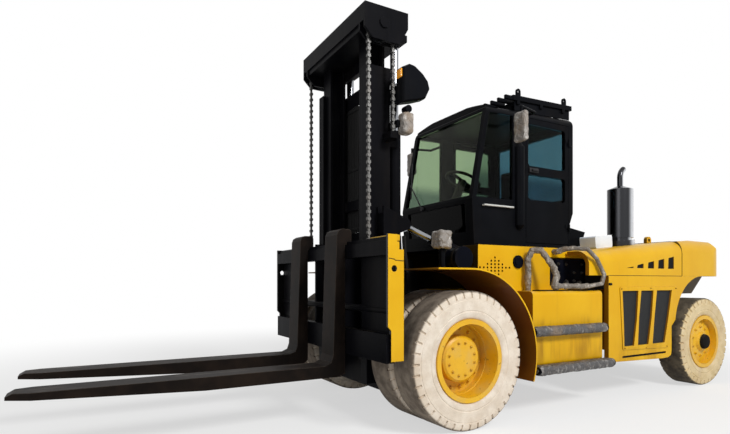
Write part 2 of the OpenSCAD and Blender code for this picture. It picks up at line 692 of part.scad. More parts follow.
module drive_rims() wheel_y(0, axle_z) {
    for (m = drive_mid) rim_profile(m, drive_w / 2, drive_r - 245, drive_r - 225);
    translate([drive_r - 275, drive_mid[1]]) square([15, drive_mid[0] - drive_mid[1]]);
    // Disc, drum and planetary hub
    polygon([[60 + run, axle_half + 40], [200, axle_half + 40], [200, drive_out - 290], [drive_r - 266, drive_out - 260],
        [drive_r - 266, drive_out - 210], [190, drive_out - 200], [190, drive_out - 130], [170, drive_out - 115],
        [0, drive_out - 115], [0, drive_out - 250], [60 + run, drive_out - 250]]);
}

module drive_tyres_left() color("#8c8474") drive_tyres();

module drive_tyres_right() color("#8c8474") right() drive_tyres();

module drive_rims_left() color("#deb21e") drive_rims();

module drive_rims_right() color("#deb21e") right() drive_rims();

module steer_tyre() wheel_y(steer_x, steer_r)
    tyre_profile(steer_mid, steer_w / 2, steer_r, steer_r - 220, steer_r - 200);

module steer_rim() wheel_y(steer_x, steer_r) {
    rim_profile(steer_mid, steer_w / 2, steer_r - 220, steer_r - 200);
    translate([0, steer_out]) polygon([[45 + run, -160], [110, -160], [110, -90], [steer_r - 238, -105],
        [steer_r - 238, -78], [110, -50], [95, -20], [0, -20], [0, -65], [45 + run, -65]]);
}

module steer_tyre_left() color("#8c8474") steer_tyre();

module steer_tyre_right() color("#8c8474") right() steer_tyre();

module steer_rim_left() color("#deb21e") steer_rim();

module steer_rim_right() color("#deb21e") right() steer_rim();

// Mast

module mast_outer() color("#26272a") {
    pair() {
        difference() {
            block([mast_rear, mast_rear + rail_depth], [rail_out - 100, rail_out], [mast_bottom, outer_top]);
            block([mast_rear + flange, mast_rear + rail_depth - flange], [rail_out - 101, rail_out - flange],
                [mast_bottom - 1, outer_top + 1]);
        }
        // Pivot lugs
        for (y = [[frame_y[0] - 40, frame_y[0] - 5], [frame_y[1] + 5, frame_y[1] + 40]])
            plate_y(y) difference() {
                union() {
                    translate(pivot) circle(60);
                    polygon([[pivot[0], pivot[1] - 60], [mast_rear, pivot[1] - 120], [mast_rear, pivot[1] + 120],
                        [pivot[0], pivot[1] + 60]]);
                }
                translate(pivot) circle(pivot_r + run);
            }
        // Tilt lugs with the pin of the open pivot
        for (y = [[rail_out, tilt_y[0] - 12], [tilt_y[1] + 12, tilt_y[1] + 35]])
            plate_y(y) {
                translate(tilt_eye) circle(55);
                polygon([[tilt_eye[0], tilt_eye[1] - 55], [430, tilt_eye[1] - 150], [430, tilt_eye[1] + 150],
                    [tilt_eye[0], tilt_eye[1] + 55]]);
            }
        block([340, 430], [rail_out, tilt_y[1] + 35], [tilt_eye[1] - 90, tilt_eye[1] + 90]);
        bar_y(tilt_eye, tilt_pin_r, [rail_out, tilt_y[1] + 35]);
        // Foot and clamp of the lift cylinder
        block([lift_x - lift_r, mast_rear], [lift_y - lift_r, lift_y + lift_r], [lift_foot - 25, lift_foot]);
        difference() {
            block([lift_x, mast_rear], [lift_y - lift_r - 12, rail_out], [barrel_top - 160, barrel_top - 100]);
            translate([lift_x, lift_y, barrel_top - 170]) cylinder(r = lift_r + seat_gap, h = 80);
        }
        // Chain anchor
        block([chain_rear - 30, chain_rear + 40], [rail_out, chain_y[1] + 8], [anchor_z - 60, anchor_z]);
    }
    for (z = [[mast_bottom - 110, 560], [640, lift_foot], [1560, 1680], [outer_top - 140, outer_top]])
        block([mast_rear - 20, mast_rear], [-rail_out, rail_out], z);
}

module lift_barrels() color("#2b2c2f") pair() difference() {
    translate([lift_x, lift_y, lift_foot]) cylinder(r = lift_r, h = barrel_top - lift_foot);
    translate([lift_x, lift_y, lift_foot + 40]) cylinder(r = rod_r + run, h = barrel_top);
}

module lift_rods() color("#c5c8cb") pair()
    translate([lift_x, lift_y, 1000]) cylinder(r = rod_r, h = inner_top - 1000);

module mast_lamps() color("#1a1a1b") pair() {
    // Round shroud of the upper lamp, on a strap from the rail
    translate([0, rail_out + 170, outer_top]) hull() for (p = [[70, 14], [58, 4], [36, 0]])
        plate_y([-p[0], p[0]]) offset(delta = -p[1]) shroud();
    block([mast_rear - 10, mast_rear + 15], [rail_out, rail_out + 170], [outer_top - 330, outer_top - 200]);
    // Bracket of the work lamp
    block([mast_rear, mast_rear + 20], [rail_out, rail_out + 150], [outer_top - 560, outer_top - 500]);
    bar_y([215, outer_top - 400], 32, [rail_out + 120, rail_out + 190]);
    block([200, 230], [rail_out + 130, rail_out + 180], [outer_top - 445, outer_top - 390]);
}

// Outline of the shroud below the top of the outer mast
module shroud() polygon([[mast_rear + 10, -60], [235, -25], [178, -33], [94, -85], [38, -143], [18, -209], [64, -299],
    [160, -333], [mast_rear + 10, -370]]);

module work_lamps() color("#8a8d90") pair() {
    plate_x([185, 270]) soft([rail_out + 110, rail_out + 208], [outer_top - 613, outer_top - 445], 26);
    block([269, mast_rear], [rail_out + 120, rail_out + 150], [outer_top - 560, outer_top - 500]);
}

module head_outline() polygon([[640, head_top], [205, head_top], [205, head_top - 140], [290, head_top - 290],
    [560, head_top - 290], [640, head_top - 210]]);

module mast_inner() color("#26272a") {
    pair() {
        for (x = [[inner_x[0], inner_x[0] + 25], [inner_x[1] - 25, inner_x[1]]])
            block(x, inner_y, [inner_bottom, inner_top]);
        block([inner_x[0] + 20, inner_x[1] - 20], [inner_y[0] + 68, inner_y[0] + 93], [inner_bottom, inner_top]);
        // Head plates on both sides of the sheave, with the sheave's pin
        plate_y([head_in, head_in + 20]) head_outline();
        plate_y([head_out - 23, head_out]) head_outline();
        bar_y(sheave, 28, [head_in + 15, head_out - 18]);
        bar_y(sheave, 45, [head_out, head_out + 14]);
    }
    block([lift_x - 50, 625], [-head_in - 10, head_in + 10], [inner_top, inner_top + 60]);
    block([600, 640], [-head_out, head_out], [head_top - 150, head_top]);
    bar_y([235, head_top - 40], 28, [-head_out + 13, head_out - 13]);
    for (z = [[inner_bottom + 30, inner_bottom + 150], [1900, 2000], [inner_top - 100, inner_top]])
        block([mast_rear + 7, inner_x[0]], [-rail_out + 110, rail_out - 110], z);
}

module sheaves() color("#3a3b3d") pair() wheel_y(sheave[0], sheave[1])
    polygon([[28 + run, sheave_y[0]], [sheave_r + 22, sheave_y[0]], [sheave_r + 22, sheave_y[0] + 5],
        [sheave_r - chain_t / 2 - seat_gap, sheave_y[0] + 5], [sheave_r - chain_t / 2 - seat_gap, sheave_y[1] - 5],
        [sheave_r + 22, sheave_y[1] - 5], [sheave_r + 22, sheave_y[1]], [28 + run, sheave_y[1]]]);

module chains_front() color("#9b9ea2") pair() {
    block([chain_front - chain_t / 2, chain_front + chain_t / 2], chain_y, [bar_top[1], sheave[1]]);
    difference() {
        wheel_y(sheave[0], sheave[1]) translate([sheave_r - chain_t / 2, chain_y[0]])
            square([chain_t, chain_y[1] - chain_y[0]]);
        block([0, 900], [sheave_y[0] - 80, sheave_y[1] + 65], [sheave[1] - 400, sheave[1]]);
    }
}

module chains_rear() color("#9b9ea2") pair()
    block([chain_rear - chain_t / 2, chain_rear + chain_t / 2], chain_y, [anchor_z, sheave[1] - seat_gap]);

// Carriage and forks

module carriage() color("#232427") {
    pair() {
        block([360, bar_x[0]], [inner_y[0] - 38, inner_y[0] - 8], [bar_low[0], 1560]);
        for (z = [700, 1450]) {
            bar_y([(inner_x[0] + inner_x[1]) / 2, z], 55, [inner_y[0] + 4, inner_y[0] + 58]);
            bar_y([(inner_x[0] + inner_x[1]) / 2, z], 25, [inner_y[0] - 10, inner_y[0] + 10]);
        }
        // Side sheet behind the two bars
        block([bar_x[0] - 25, bar_x[0]], [chain_y[1] + 30, carriage_out - end_t], [bar_low[1] - 40, bar_top[0] + 40]);
        // Chain anchor
        block([chain_front - 30, bar_x[0] + 5], [chain_y[0] - 6, chain_y[1] + 10], [bar_top[0] + 20, bar_top[1]]);
    }
    for (z = [bar_top, bar_low]) block(bar_x, [-carriage_out + end_t, carriage_out - end_t], z);
    bar_y([650, 970], 30, [-carriage_out + end_t, carriage_out - end_t]);
    // Lip that the fork hooks run on
    block(lip_x, [-carriage_out + end_t, carriage_out - end_t], [bar_top[1], lip_z]);
}

module carriage_ends() color("#deb21e") pair() {
    plate_y([carriage_out - end_t, carriage_out]) difference() {
        polygon([[bar_x[1] - 28, 600], [605, 600], [605, 1433], [645, 1433], [645, 1490], [662, 1490], [662, 1545],
            [bar_x[1], 1545], [bar_x[1], 860], [bar_x[1] - 28, 830]]);
        translate([690, 1290]) circle(24);
    }
    block([625, bar_x[0] + 15], [830, carriage_out - end_t], [bar_top[1], 1545]);
}

module fork() intersection() {
    plate_y([fork_y - fork_w / 2, fork_y + fork_w / 2])
        polygon([[fork_x[0], fork_top - fork_t + 30], [fork_x[0] + 40, fork_top - fork_t],
            [1900, fork_top - fork_t], [fork_tip, fork_top - 42], [fork_tip, fork_top - 22], [fork_tip - 40, fork_top],
            [fork_x[1] + 75, fork_top], [fork_x[1] + 20, fork_top + 24], [fork_x[1], fork_top + 80],
            // Hook over the lip of the upper bar
            [fork_x[1] - 30, 1500], [fork_x[1] - 32, 1585], [fork_x[1] - 46, 1620], [fork_x[1] - 80, 1640],
            [lip_x[0] + 6, 1640], [lip_x[0] - 10, 1632], [lip_x[0] - 18, 1615], [lip_x[0] - 18, bar_top[1] + 6],
            [lip_x[0] - 5, bar_top[1] + 6], [lip_x[0] - 5, lip_z + run], [lip_x[1] + 5, lip_z + run],
            [lip_x[1] + 5, bar_top[1] + 6], [fork_x[0], bar_top[1] + 6]]);
    linear_extrude(2000) polygon([[500, fork_y - fork_w / 2], [fork_tip - 140, fork_y - fork_w / 2],
        [fork_tip, fork_y - fork_w / 2 + 45], [fork_tip, fork_y + fork_w / 2 - 45],
        [fork_tip - 140, fork_y + fork_w / 2], [500, fork_y + fork_w / 2]]);
}

module fork_left() color("#2a2421") fork();

module fork_right() color("#2a2421") right() fork();

// Tilt cylinders

module on_tilt_axis() pair()
    translate([tilt_base[0], (tilt_y[0] + tilt_y[1]) / 2, tilt_base[1]]) rotate([0, -tilt_angle, 0]) children();

module tilt_barrels() color("#2b2c2f") on_tilt_axis() difference() {
    union() {
        bar_y([0, 0], 48, [-25, 25]);
        block([0, 70], [-25, 25], [-40, 40]);
        bar_x([0, 0], tilt_r, [62, 540]);
    }
    bar_y([0, 0], 30 + run, [-30, 30]);
    bar_x([0, 0], tilt_rod_r + run, [85, 560]);
}

module tilt_rods() color("#c5c8cb") on_tilt_axis() difference() {
    union() {
        bar_x([0, 0], tilt_rod_r, [325, tilt_len - 50]);
        bar_y([tilt_len, 0], 64, [-25, 25]);
    }
    bar_y([tilt_len, 0], 45, [-30, 30]);
}

shift() frame();
shift() drive_axle();
shift() fenders();
shift() deck();
shift() side_tanks();
shift() steps();
shift() battery_boxes();
shift() grab_rails();
shift() side_panels();
shift() grilles();
shift() hood_sides();
shift() counterweight();
shift() engine();
shift() cab_shell();
shift() cab_windows();
shift() roof_guard();
shift() seat();
shift() controls();
shift() mirrors();
shift() muffler();
shift() header_tank();
shift() air_tank();
shift() lamps();
shift() steer_axle();
shift() hood_lid();
shift() door_left();
shift() door_right();
shift() door_glass_left();
shift() door_glass_right();
shift() knuckle_left();
shift() knuckle_right();
shift() drive_tyres_left();
shift() drive_tyres_right();
shift() drive_rims_left();
shift() drive_rims_right();
shift() steer_tyre_left();
shift() steer_tyre_right();
shift() steer_rim_left();
shift() steer_rim_right();
shift() steer_rod();
shift() mast_outer();
shift() lift_barrels();
shift() mast_lamps();
shift() work_lamps();
shift() mast_inner();
shift() lift_rods();
shift() sheaves();
shift() chains_front();
shift() chains_rear();
shift() carriage();
shift() carriage_ends();
shift() fork_left();
shift() fork_right();
shift() tilt_barrels();
shift() tilt_rods();
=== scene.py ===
# %% [markdown]
# # A heavy forklift, dressed for its portrait
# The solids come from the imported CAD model, already in place and in metres. This lesson keeps
# them, gives every surface a finish, and adds what a solid model leaves plain: tread, links, nuts,
# lenses, rubber seals and a padded seat. Lengths along X in the drawing are counted from the drive
# axle, so a small helper moves such a point into the model's own frame.

# %% Load the solids and keep their box
import math

import bmesh
import bpy
from mathutils import Matrix, Vector, noise


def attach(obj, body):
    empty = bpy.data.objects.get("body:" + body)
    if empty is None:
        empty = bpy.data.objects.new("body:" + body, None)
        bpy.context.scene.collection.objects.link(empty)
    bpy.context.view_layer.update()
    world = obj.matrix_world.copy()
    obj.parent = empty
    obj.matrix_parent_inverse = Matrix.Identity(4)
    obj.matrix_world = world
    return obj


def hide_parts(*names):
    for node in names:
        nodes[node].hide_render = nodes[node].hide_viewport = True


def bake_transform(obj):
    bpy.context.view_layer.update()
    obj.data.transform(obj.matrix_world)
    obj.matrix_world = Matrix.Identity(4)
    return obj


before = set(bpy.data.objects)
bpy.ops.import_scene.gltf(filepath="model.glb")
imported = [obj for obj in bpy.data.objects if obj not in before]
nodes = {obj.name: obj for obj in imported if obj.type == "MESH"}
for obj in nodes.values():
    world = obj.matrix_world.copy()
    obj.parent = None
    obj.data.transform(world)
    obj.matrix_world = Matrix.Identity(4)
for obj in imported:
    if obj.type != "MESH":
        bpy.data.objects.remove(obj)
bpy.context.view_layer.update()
AXLE_X, WHEELBASE = 0.54, 3.57
DRIVE_RADIUS, STEER_RADIUS = 0.56, 0.5
SIDES = (("left", 1), ("right", -1))


def spot(x, y, z):
    "A point given from the drive axle, in the model's frame."
    return Vector((x + AXLE_X, y, z))


DRIVE_AXLE, STEER_AXLE = spot(0, 0, DRIVE_RADIUS), spot(-WHEELBASE, 0, STEER_RADIUS)

# %% [markdown]
# ## Camera
# The photograph was taken at chest height, close to the left front corner, with a wide lens.
# The lens and the place were worked out from the wheels, the mast and the cab. A tall object
# shot with a level camera needs a shifted frame instead of a tilted one, so the uprights stay
# upright, just as an architect's camera keeps them.

# %% Camera
eye = bpy.data.cameras.new("photo_eye")
eye.lens = 24.956
eye.sensor_width = 36.0
eye.shift_y = 0.0864
eye.clip_end = 200.0
camera = bpy.data.objects.new("photo_eye", eye)
camera.location = spot(2.7177, 4.3317, 1.1974)
camera.rotation_euler = (math.radians(90.107), 0.0, math.radians(150.474))
bpy.context.scene.collection.objects.link(camera)
bpy.context.scene.camera = camera
bpy.context.scene.view_settings.view_transform = "Standard"
print("camera at", tuple(round(c, 3) for c in camera.location))

# %% [markdown]
# ## Writing finishes as sums
# A finish is a small network of nodes. Wiring it by hand hides the idea, so one class stands for
# a value in the network, and Python's own operators on it add the Math nodes. Everything else,
# such as noise or a mix of colours, comes from its one method `node`.

# %% A value inside a finish
class Shade:
    def __init__(self, tree, socket=None):
        self.tree, self.socket = tree, socket

    def node(self, kind, settings=None, sockets=None, out=0):
        n = self.tree.nodes.new(kind)
        for key, value in (settings or {}).items():
            setattr(n, key, value)
        for key, value in (sockets or {}).items():
            if isinstance(value, Shade):
                self.tree.links.new(value.socket, n.inputs[key])
            else:
                n.inputs[key].default_value = value
        return Shade(self.tree, n.outputs[out] if n.outputs else None)

    def maths(self, operation, *values):
        return self.node("ShaderNodeMath", {"operation": operation}, dict(enumerate(values)))

    def __add__(self, other):
        return self.maths("ADD", self, other)

    def __radd__(self, other):
        return self.maths("ADD", other, self)

    def __sub__(self, other):
        return self.maths("SUBTRACT", self, other)

    def __rsub__(self, other):
        return self.maths("SUBTRACT", other, self)

    def __mul__(self, other):
        return self.maths("MULTIPLY", self, other)

    def __pow__(self, other):
        return self.maths("POWER", self, other)

    def larger(self, other):
        return self.maths("MAXIMUM", self, other)

    def smaller(self, other):
        return self.maths("MINIMUM", self, other)

    def sign(self):
        return self.maths("SIGN", self)

    def sine(self):
        return self.maths("SINE", self)

    def ramp(self, low, high):
        "Zero below low, one above high, and smooth between them."
        return self.node("ShaderNodeMapRange", {"interpolation_type": "SMOOTHSTEP"},
                         {"Value": self, "From Min": low, "From Max": high})

    def between(self, first, second):
        "This value mixes two colours."
        return self.node("ShaderNodeMix", {"data_type": "RGBA"}, {0: self, 6: first, 7: second}, out=2)

    def place(self, centre=(0, 0, 0), stretch=(1, 1, 1)):
        "Object coordinates, counted from a centre and stretched."
        here = self.node("ShaderNodeTexCoord", out="Object")
        shift = [-c * s for c, s in zip(centre, stretch)]
        return self.node("ShaderNodeMapping", {"vector_type": "POINT"},
                         {"Vector": here, "Location": shift, "Scale": stretch})

    def along(self, axis):
        "One coordinate of a vector: 0, 1 or 2."
        return self.node("ShaderNodeSeparateXYZ", None, {0: self}, out=axis)

    def noise(self, scale, detail=4.0, rough=0.55, stretch=(1, 1, 1)):
        return self.node("ShaderNodeTexNoise", None, {"Vector": self.place(stretch=stretch), "Scale": scale,
                                                     "Detail": detail, "Roughness": rough})

    def facing(self):
        "The direction that a face looks in."
        return self.node("ShaderNodeNewGeometry", out="Normal")

    def up(self):
        "How far a face looks upwards."
        return self.facing().along(2)

    def soft_edge(self, radius):
        "The normal of a rounded edge, and a mask that is one on such edges."
        rounded = self.node("ShaderNodeBevel", {"samples": 4}, {"Radius": radius})
        plain = self.node("ShaderNodeNewGeometry", out="True Normal")
        level = self.node("ShaderNodeVectorMath", {"operation": "DOT_PRODUCT"},
                          {0: rounded, 1: plain}, out="Value")
        return rounded, (1.0 - level).ramp(0.02, 0.16)

    def bump(self, height, distance, strength=1.0, normal=None):
        sockets = {"Height": height, "Distance": distance, "Strength": strength}
        if normal is not None:
            sockets["Normal"] = normal
        return self.node("ShaderNodeBump", None, sockets)


def rgb(red, green, blue):
    "A colour as a screen shows it, from 0 to 255, made linear for the shader."
    parts = [c / 255 for c in (red, green, blue)]
    return tuple(((p + 0.055) / 1.055) ** 2.4 if p > 0.04 else p / 12.92 for p in parts) + (1.0,)


def lighter(tone, factor):
    "The same colour, brighter by a factor and never past white."
    return tuple(min(1.0, c * factor) for c in tone[:3]) + (1.0,)


finishes = {}


def finish(name, recipe):
    material = bpy.data.materials.new(name)
    material.use_nodes = True
    material.node_tree.nodes.clear()
    start = Shade(material.node_tree)
    surface = start.node("ShaderNodeBsdfPrincipled", None, recipe(start))
    start.node("ShaderNodeOutputMaterial", None, {"Surface": surface})
    finishes[name] = material


print("the finish writer is ready")

# %% [markdown]
# ## Yellow paint
# The body is sprayed in a warm yellow gloss enamel. On the real machine it is never one flat
# colour: the sun bleaches it in soft patches, dust settles on what looks upwards, road dirt
# climbs from below, and the edges of the plates are worn a little darker. Faces that look forward
# or down are painted brown as shade. A mask can add more: painted shade on some finishes, and
# streaks of stain on the tank. The paint could be one colour with a texture picture on top, but
# noise in object space needs no picture and no unwrapping.

# %% Yellow paint
# Brown for painted shade mixed with dirt, and near-black for painted shade alone.
SHADE_AND_DIRT_BROWN, PAINTED_SHADE_BLACK = rgb(112, 60, 16), rgb(16, 12, 9)


def yellow_paint(s, mask=None, shade_and_dirt_tone=SHADE_AND_DIRT_BROWN):
    """Enamel with painted shade on what looks forward or down, and with what a mask adds: painted shade on
    some finishes, stains on the tank.
    """
    rounded, edge = s.soft_edge(0.006)
    facing = s.facing()
    # Faces that look forward or down lie in shade, and the brown mixed in there is painted shade.
    painted_shade_and_grime = facing.along(0).ramp(0.45, 0.95) * 0.85 + (0.0 - facing.along(2)).ramp(0.15, 0.7) * 0.85
    if mask:
        painted_shade_and_grime = painted_shade_and_grime.larger(mask(s, facing))
    patches = s.noise(1.7, 5)
    grain = s.noise(46, 3)
    height = s.place().along(2)
    dust = s.up().ramp(0.35, 1.0) * s.noise(9, 6).ramp(0.42, 0.75) * 0.35
    dirt = (1.0 - height.ramp(0.3, 0.85)) * s.noise(5, 6, stretch=(1, 1, 0.35)).ramp(0.4, 0.7) * 0.5
    streak = s.noise(16, 4, stretch=(1, 1, 0.06)).ramp(0.56, 0.8) * 0.14
    colour = patches.ramp(0.35, 0.7).between(rgb(218, 165, 12), rgb(226, 177, 24))
    colour = (streak + dirt).between(colour, rgb(150, 104, 30))
    colour = dust.between(colour, rgb(205, 184, 130))
    colour = (painted_shade_and_grime * (0.8 + patches * 0.3)).between(colour, shade_and_dirt_tone)
    colour = (edge * s.noise(30, 3).ramp(0.5, 0.62) * 0.55).between(colour, rgb(112, 78, 28))
    return {"Base Color": colour, "Roughness": 0.3 + dust * 0.5 + dirt * 0.4 + grain * 0.06,
            "Normal": s.bump(grain, 0.0006, 0.25, rounded), "Coat Weight": 0.03, "Coat Roughness": 0.12,
            "Specular IOR Level": 0.14}


def rim_paint(s):
    rounded, edge = s.soft_edge(0.005)
    chips = s.noise(38, 6, 0.7).ramp(0.6, 0.66) * s.noise(6, 3).ramp(0.45, 0.62)
    dust = s.noise(7, 6).ramp(0.42, 0.72)
    colour = s.noise(3, 4).ramp(0.35, 0.7).between(rgb(220, 166, 14), rgb(230, 180, 28))
    colour = (dust * 0.4).between(colour, rgb(196, 170, 112))
    colour = (edge * 0.5).between(colour, rgb(140, 98, 30))
    colour = (chips * 0.8).between(colour, rgb(104, 66, 32))
    return {"Base Color": colour, "Roughness": 0.36 + dust * 0.25 + chips * 0.2,
            "Normal": s.bump(s.noise(60, 3), 0.0006, 0.3, rounded)}


def inward(s, facing):
    "One on what looks at the machine's middle, which wash water rarely reaches."
    return (0.0 - facing.along(1) * s.place().along(1).sign()).ramp(0.3, 0.7)


def outward(s, facing):
    "One on what looks away from the machine's middle."
    return (facing.along(1) * s.place().along(1).sign()).ramp(0.4, 0.8)


def under_arch(s, facing):
    """One on the side of a fender that looks at its wheel, and on what looks inward: painted shade with rust
    dust.
    """
    p = s.place(DRIVE_AXLE)
    arch = (0.0 - (p.along(0) * facing.along(0) + p.along(2) * facing.along(2))).ramp(0.05, 0.3)
    return arch.larger(inward(s, facing))


def painted_shade_front(s, facing):
    "One on what looks forward, under the mast's cylinders, and on the inner walls."
    return inward(s, facing).larger(facing.along(0).ramp(0.3, 0.7))


def painted_shade_belly(s, facing):
    "One on the casting below the body's seam, whichever way it looks."
    return 1.0 - s.place().along(2).ramp(1.247, 1.256)


def step_streaks(s, facing):
    "Rain and boots leave brown streaks on the tank, below the upper step and just above it."
    height = s.place().along(2)
    below = height.ramp(0.42, 0.56) * (1.0 - height.ramp(0.66, 0.72))
    above = height.ramp(0.79, 0.80) * (1.0 - height.ramp(0.8, 0.9)) * 0.8
    return (below + above) * s.noise(11, 4, stretch=(1, 1, 0.12)).ramp(0.42, 0.7) * 0.5


finish("yellow_paint", yellow_paint)
finish("fender_paint", lambda s: yellow_paint(s, under_arch))
# The deck's forward faces and inner walls are painted near-black as shade.
finish("deck_paint", lambda s: yellow_paint(s, painted_shade_front, PAINTED_SHADE_BLACK))
finish("tank_paint", lambda s: yellow_paint(s, step_streaks))
# The counterweight's casting below the seam is painted near-black as shade.
finish("weight_paint", lambda s: yellow_paint(s, painted_shade_belly, rgb(16, 10, 6)))
finish("rim_paint", rim_paint)
print("yellow enamel for body and rims")

# %% [markdown]
# ## Dark paints
# The dark finishes look alike from afar and differ close by. The mast is a blue black oily paint
# with scuffs where the stages rub, the cab is a smoother satin black, the air tank is a blue black
# enamel, and the castings under the machine are matt and dusty. One recipe with a few numbers
# gives them all. The carriage's end plates are yellow outside and on one tab, and black elsewhere.

# %% Dark paints
def dark_paint(tone, worn, rough, dusty, grease=0.0):
    def recipe(s):
        rounded, edge = s.soft_edge(0.005)
        cloud = s.noise(2.2, 5)
        grain = s.noise(70, 3)
        dust = s.up().ramp(0.2, 1.0) * s.noise(7, 6).ramp(0.38, 0.7) * dusty
        film = s.noise(4, 5, stretch=(1, 1, 0.25)).ramp(0.48, 0.75) * (dusty * 0.35)
        wipe = s.noise(22, 4, stretch=(1, 1, 0.04)).ramp(0.52, 0.75) * grease
        colour = cloud.ramp(0.3, 0.75).between(tone, lighter(tone, 1.7))
        colour = (dust + film).between(colour, rgb(120, 108, 90))
        colour = (edge * s.noise(34, 4).ramp(0.47, 0.62) * 0.7).between(colour, worn)
        return {"Base Color": colour, "Roughness": rough + dust * 0.3 + grain * 0.08 - wipe * 0.15,
                "Normal": s.bump(grain, 0.0005, 0.3, rounded), "Specular IOR Level": 0.022}
    return recipe


def plate_paint(s):
    facing, side = s.facing(), s.place().along(1)
    tab = side.ramp(0.5, 0.6) * (1.0 - side.ramp(1.13, 1.14)) * facing.along(0).ramp(0.3, 0.7)
    look = yellow_paint(s)
    colour = outward(s, facing).between(rgb(13, 12, 12), look["Base Color"])
    look["Base Color"] = tab.between(colour, rgb(228, 178, 24))
    look["Specular IOR Level"] = 0.2
    return look


finish("plate_paint", plate_paint)
finish("mast_paint", dark_paint(rgb(11, 11, 14), rgb(50, 52, 56), 0.34, 0.06, 0.6))
finish("cab_paint", dark_paint(rgb(10, 11, 14), rgb(40, 42, 48), 0.26, 0.05))
finish("casting_paint", dark_paint(rgb(22, 21, 20), rgb(70, 66, 62), 0.6, 0.3))
finish("tank_enamel", dark_paint(rgb(10, 12, 20), rgb(60, 64, 72), 0.2, 0.1))
print("four dark paints and the end plates' paint")

# %% [markdown]
# ## Fork steel
# The forks are forged and painted dark brown, and the load rubs the paint off along the top and
# at the tips. The scratches run lengthwise, so their noise is stretched along X.

# %% Fork steel
def fork_steel(s):
    rounded, edge = s.soft_edge(0.008)
    scratches = s.noise(26, 5, 0.65, stretch=(0.06, 1, 1)).ramp(0.5, 0.68)
    rub = s.up().ramp(0.5, 1.0) * s.noise(3, 5).ramp(0.4, 0.7) * scratches
    colour = s.noise(5, 6).ramp(0.3, 0.75).between(rgb(18, 14, 12), rgb(34, 26, 21))
    colour = (edge * 0.35 + rub * 0.45).between(colour, rgb(112, 102, 92))
    return {"Base Color": colour, "Specular IOR Level": 0.06, "Metallic": (rub + edge) * 0.15,
            "Roughness": 0.5 - rub * 0.12 + s.noise(40, 3) * 0.1,
            "Normal": s.bump(s.noise(55, 4), 0.0012, 0.35, rounded)}


finish("fork_steel", fork_steel)
print("fork steel")

# %% [markdown]
# ## Bright metal
# Piston rods are hard chrome, the muffler is brushed stainless steel, and the chains and sheaves
# are bare oiled steel. What sets these metals apart is how rough they are, how stained, and in
# which direction the fine scratches run.

# %% Bright metal
def bright_metal(tone, rough, stretch, stain):
    def recipe(s):
        lines = s.noise(120, 3, 0.6, stretch=stretch)
        blot = s.noise(6, 6).ramp(0.48, 0.75) * stain
        return {"Base Color": blot.between(tone, rgb(120, 108, 96)), "Metallic": 1.0 - blot * 0.5,
                "Roughness": rough + lines * 0.14 + blot * 0.2, "Normal": s.bump(lines, 0.0004, 0.2)}
    return recipe


def muffler_steel(s):
    """Stainless steel, with a painted dark reflection on the side that looks forward, at the cab."""
    look = bright_metal(rgb(212, 214, 218), 0.14, (1, 1, 0.03), 0.2)(s)
    # Faces that look forward are darkened: a painted dark reflection.
    painted_dark_reflection = s.facing().along(0).ramp(-0.1, 0.35) * 0.95
    look["Base Color"] = painted_dark_reflection.between(look["Base Color"], rgb(24, 24, 27))
    return look


finish("chrome_rod", bright_metal(rgb(150, 152, 156), 0.08, (1, 1, 1), 0.12))
finish("muffler_steel", muffler_steel)
finish("chain_steel", bright_metal(rgb(106, 105, 103), 0.45, (1, 1, 1), 0.35))
finish("sheave_steel", bright_metal(rgb(110, 112, 116), 0.4, (1, 1, 1), 0.6))
print("four bright metals")

# %% [markdown]
# ## Tyres
# Solid tyres that have rolled through pale dust: the side walls are cream, the running face is
# grey brown, and dirt packs into the grooves. The distance from the wheel's axle tells wall from
# running face, and it is worked out from object coordinates centred on that axle.

# %% Tyres
def tyre_rubber(centre, radius, wall_tones, face_tones):
    def recipe(s):
        p = s.place(centre)
        reach = (p.along(0) ** 2 + p.along(2) ** 2) ** 0.5
        run = reach.ramp(radius - 0.022, radius - 0.004)
        mottle = s.noise(9, 7, 0.65)
        fine = s.noise(70, 4, 0.6)
        wall = mottle.ramp(0.3, 0.72).between(*wall_tones)
        wall = (s.noise(3, 5).ramp(0.5, 0.72) * 0.5).between(wall, rgb(194, 172, 144))
        face = mottle.ramp(0.32, 0.7).between(*face_tones)
        rings = (reach * 420.0).sine() * 0.5 + 0.5
        colour = run.between(wall, face)
        colour = (fine.ramp(0.62, 0.74) * 0.35).between(colour, rgb(96, 88, 76))
        return {"Base Color": colour, "Roughness": 0.78 + fine * 0.15, "Specular IOR Level": 0.3,
                "Normal": s.bump(fine + rings * 0.12, 0.002, 0.4)}
    return recipe


DRIVE_WALL, DRIVE_FACE = (rgb(212, 198, 180), rgb(232, 221, 206)), (rgb(92, 82, 72), rgb(138, 126, 112))
# The steer tyre's running face is darker than the drive tyre's: painted shade under the body.
STEER_WALL, STEER_FACE_PAINTED_SHADE = (rgb(204, 182, 138), rgb(224, 205, 166)), (rgb(52, 46, 38), rgb(104, 94, 78))
finish("drive_rubber", tyre_rubber(DRIVE_AXLE, DRIVE_RADIUS, DRIVE_WALL, DRIVE_FACE))
finish("steer_rubber", tyre_rubber(STEER_AXLE, STEER_RADIUS, STEER_WALL, STEER_FACE_PAINTED_SHADE))
print("dusty rubber for both axles")

# %% [markdown]
# ## Glass, plastic, wrapping and lamps
# The cab glass is tinted and shows the inside, with smudges whose faint teal tint is a painted
# reflection. Light that passes it takes the tint on, so it is a transmitting surface with a low
# index, and not a thin paint with a low alpha. New machines are shipped with foam and film wound
# round rails, steps and lamps: a pale crumpled skin whose creases carry painted highlights, made
# from stretched noise and a strong bump.

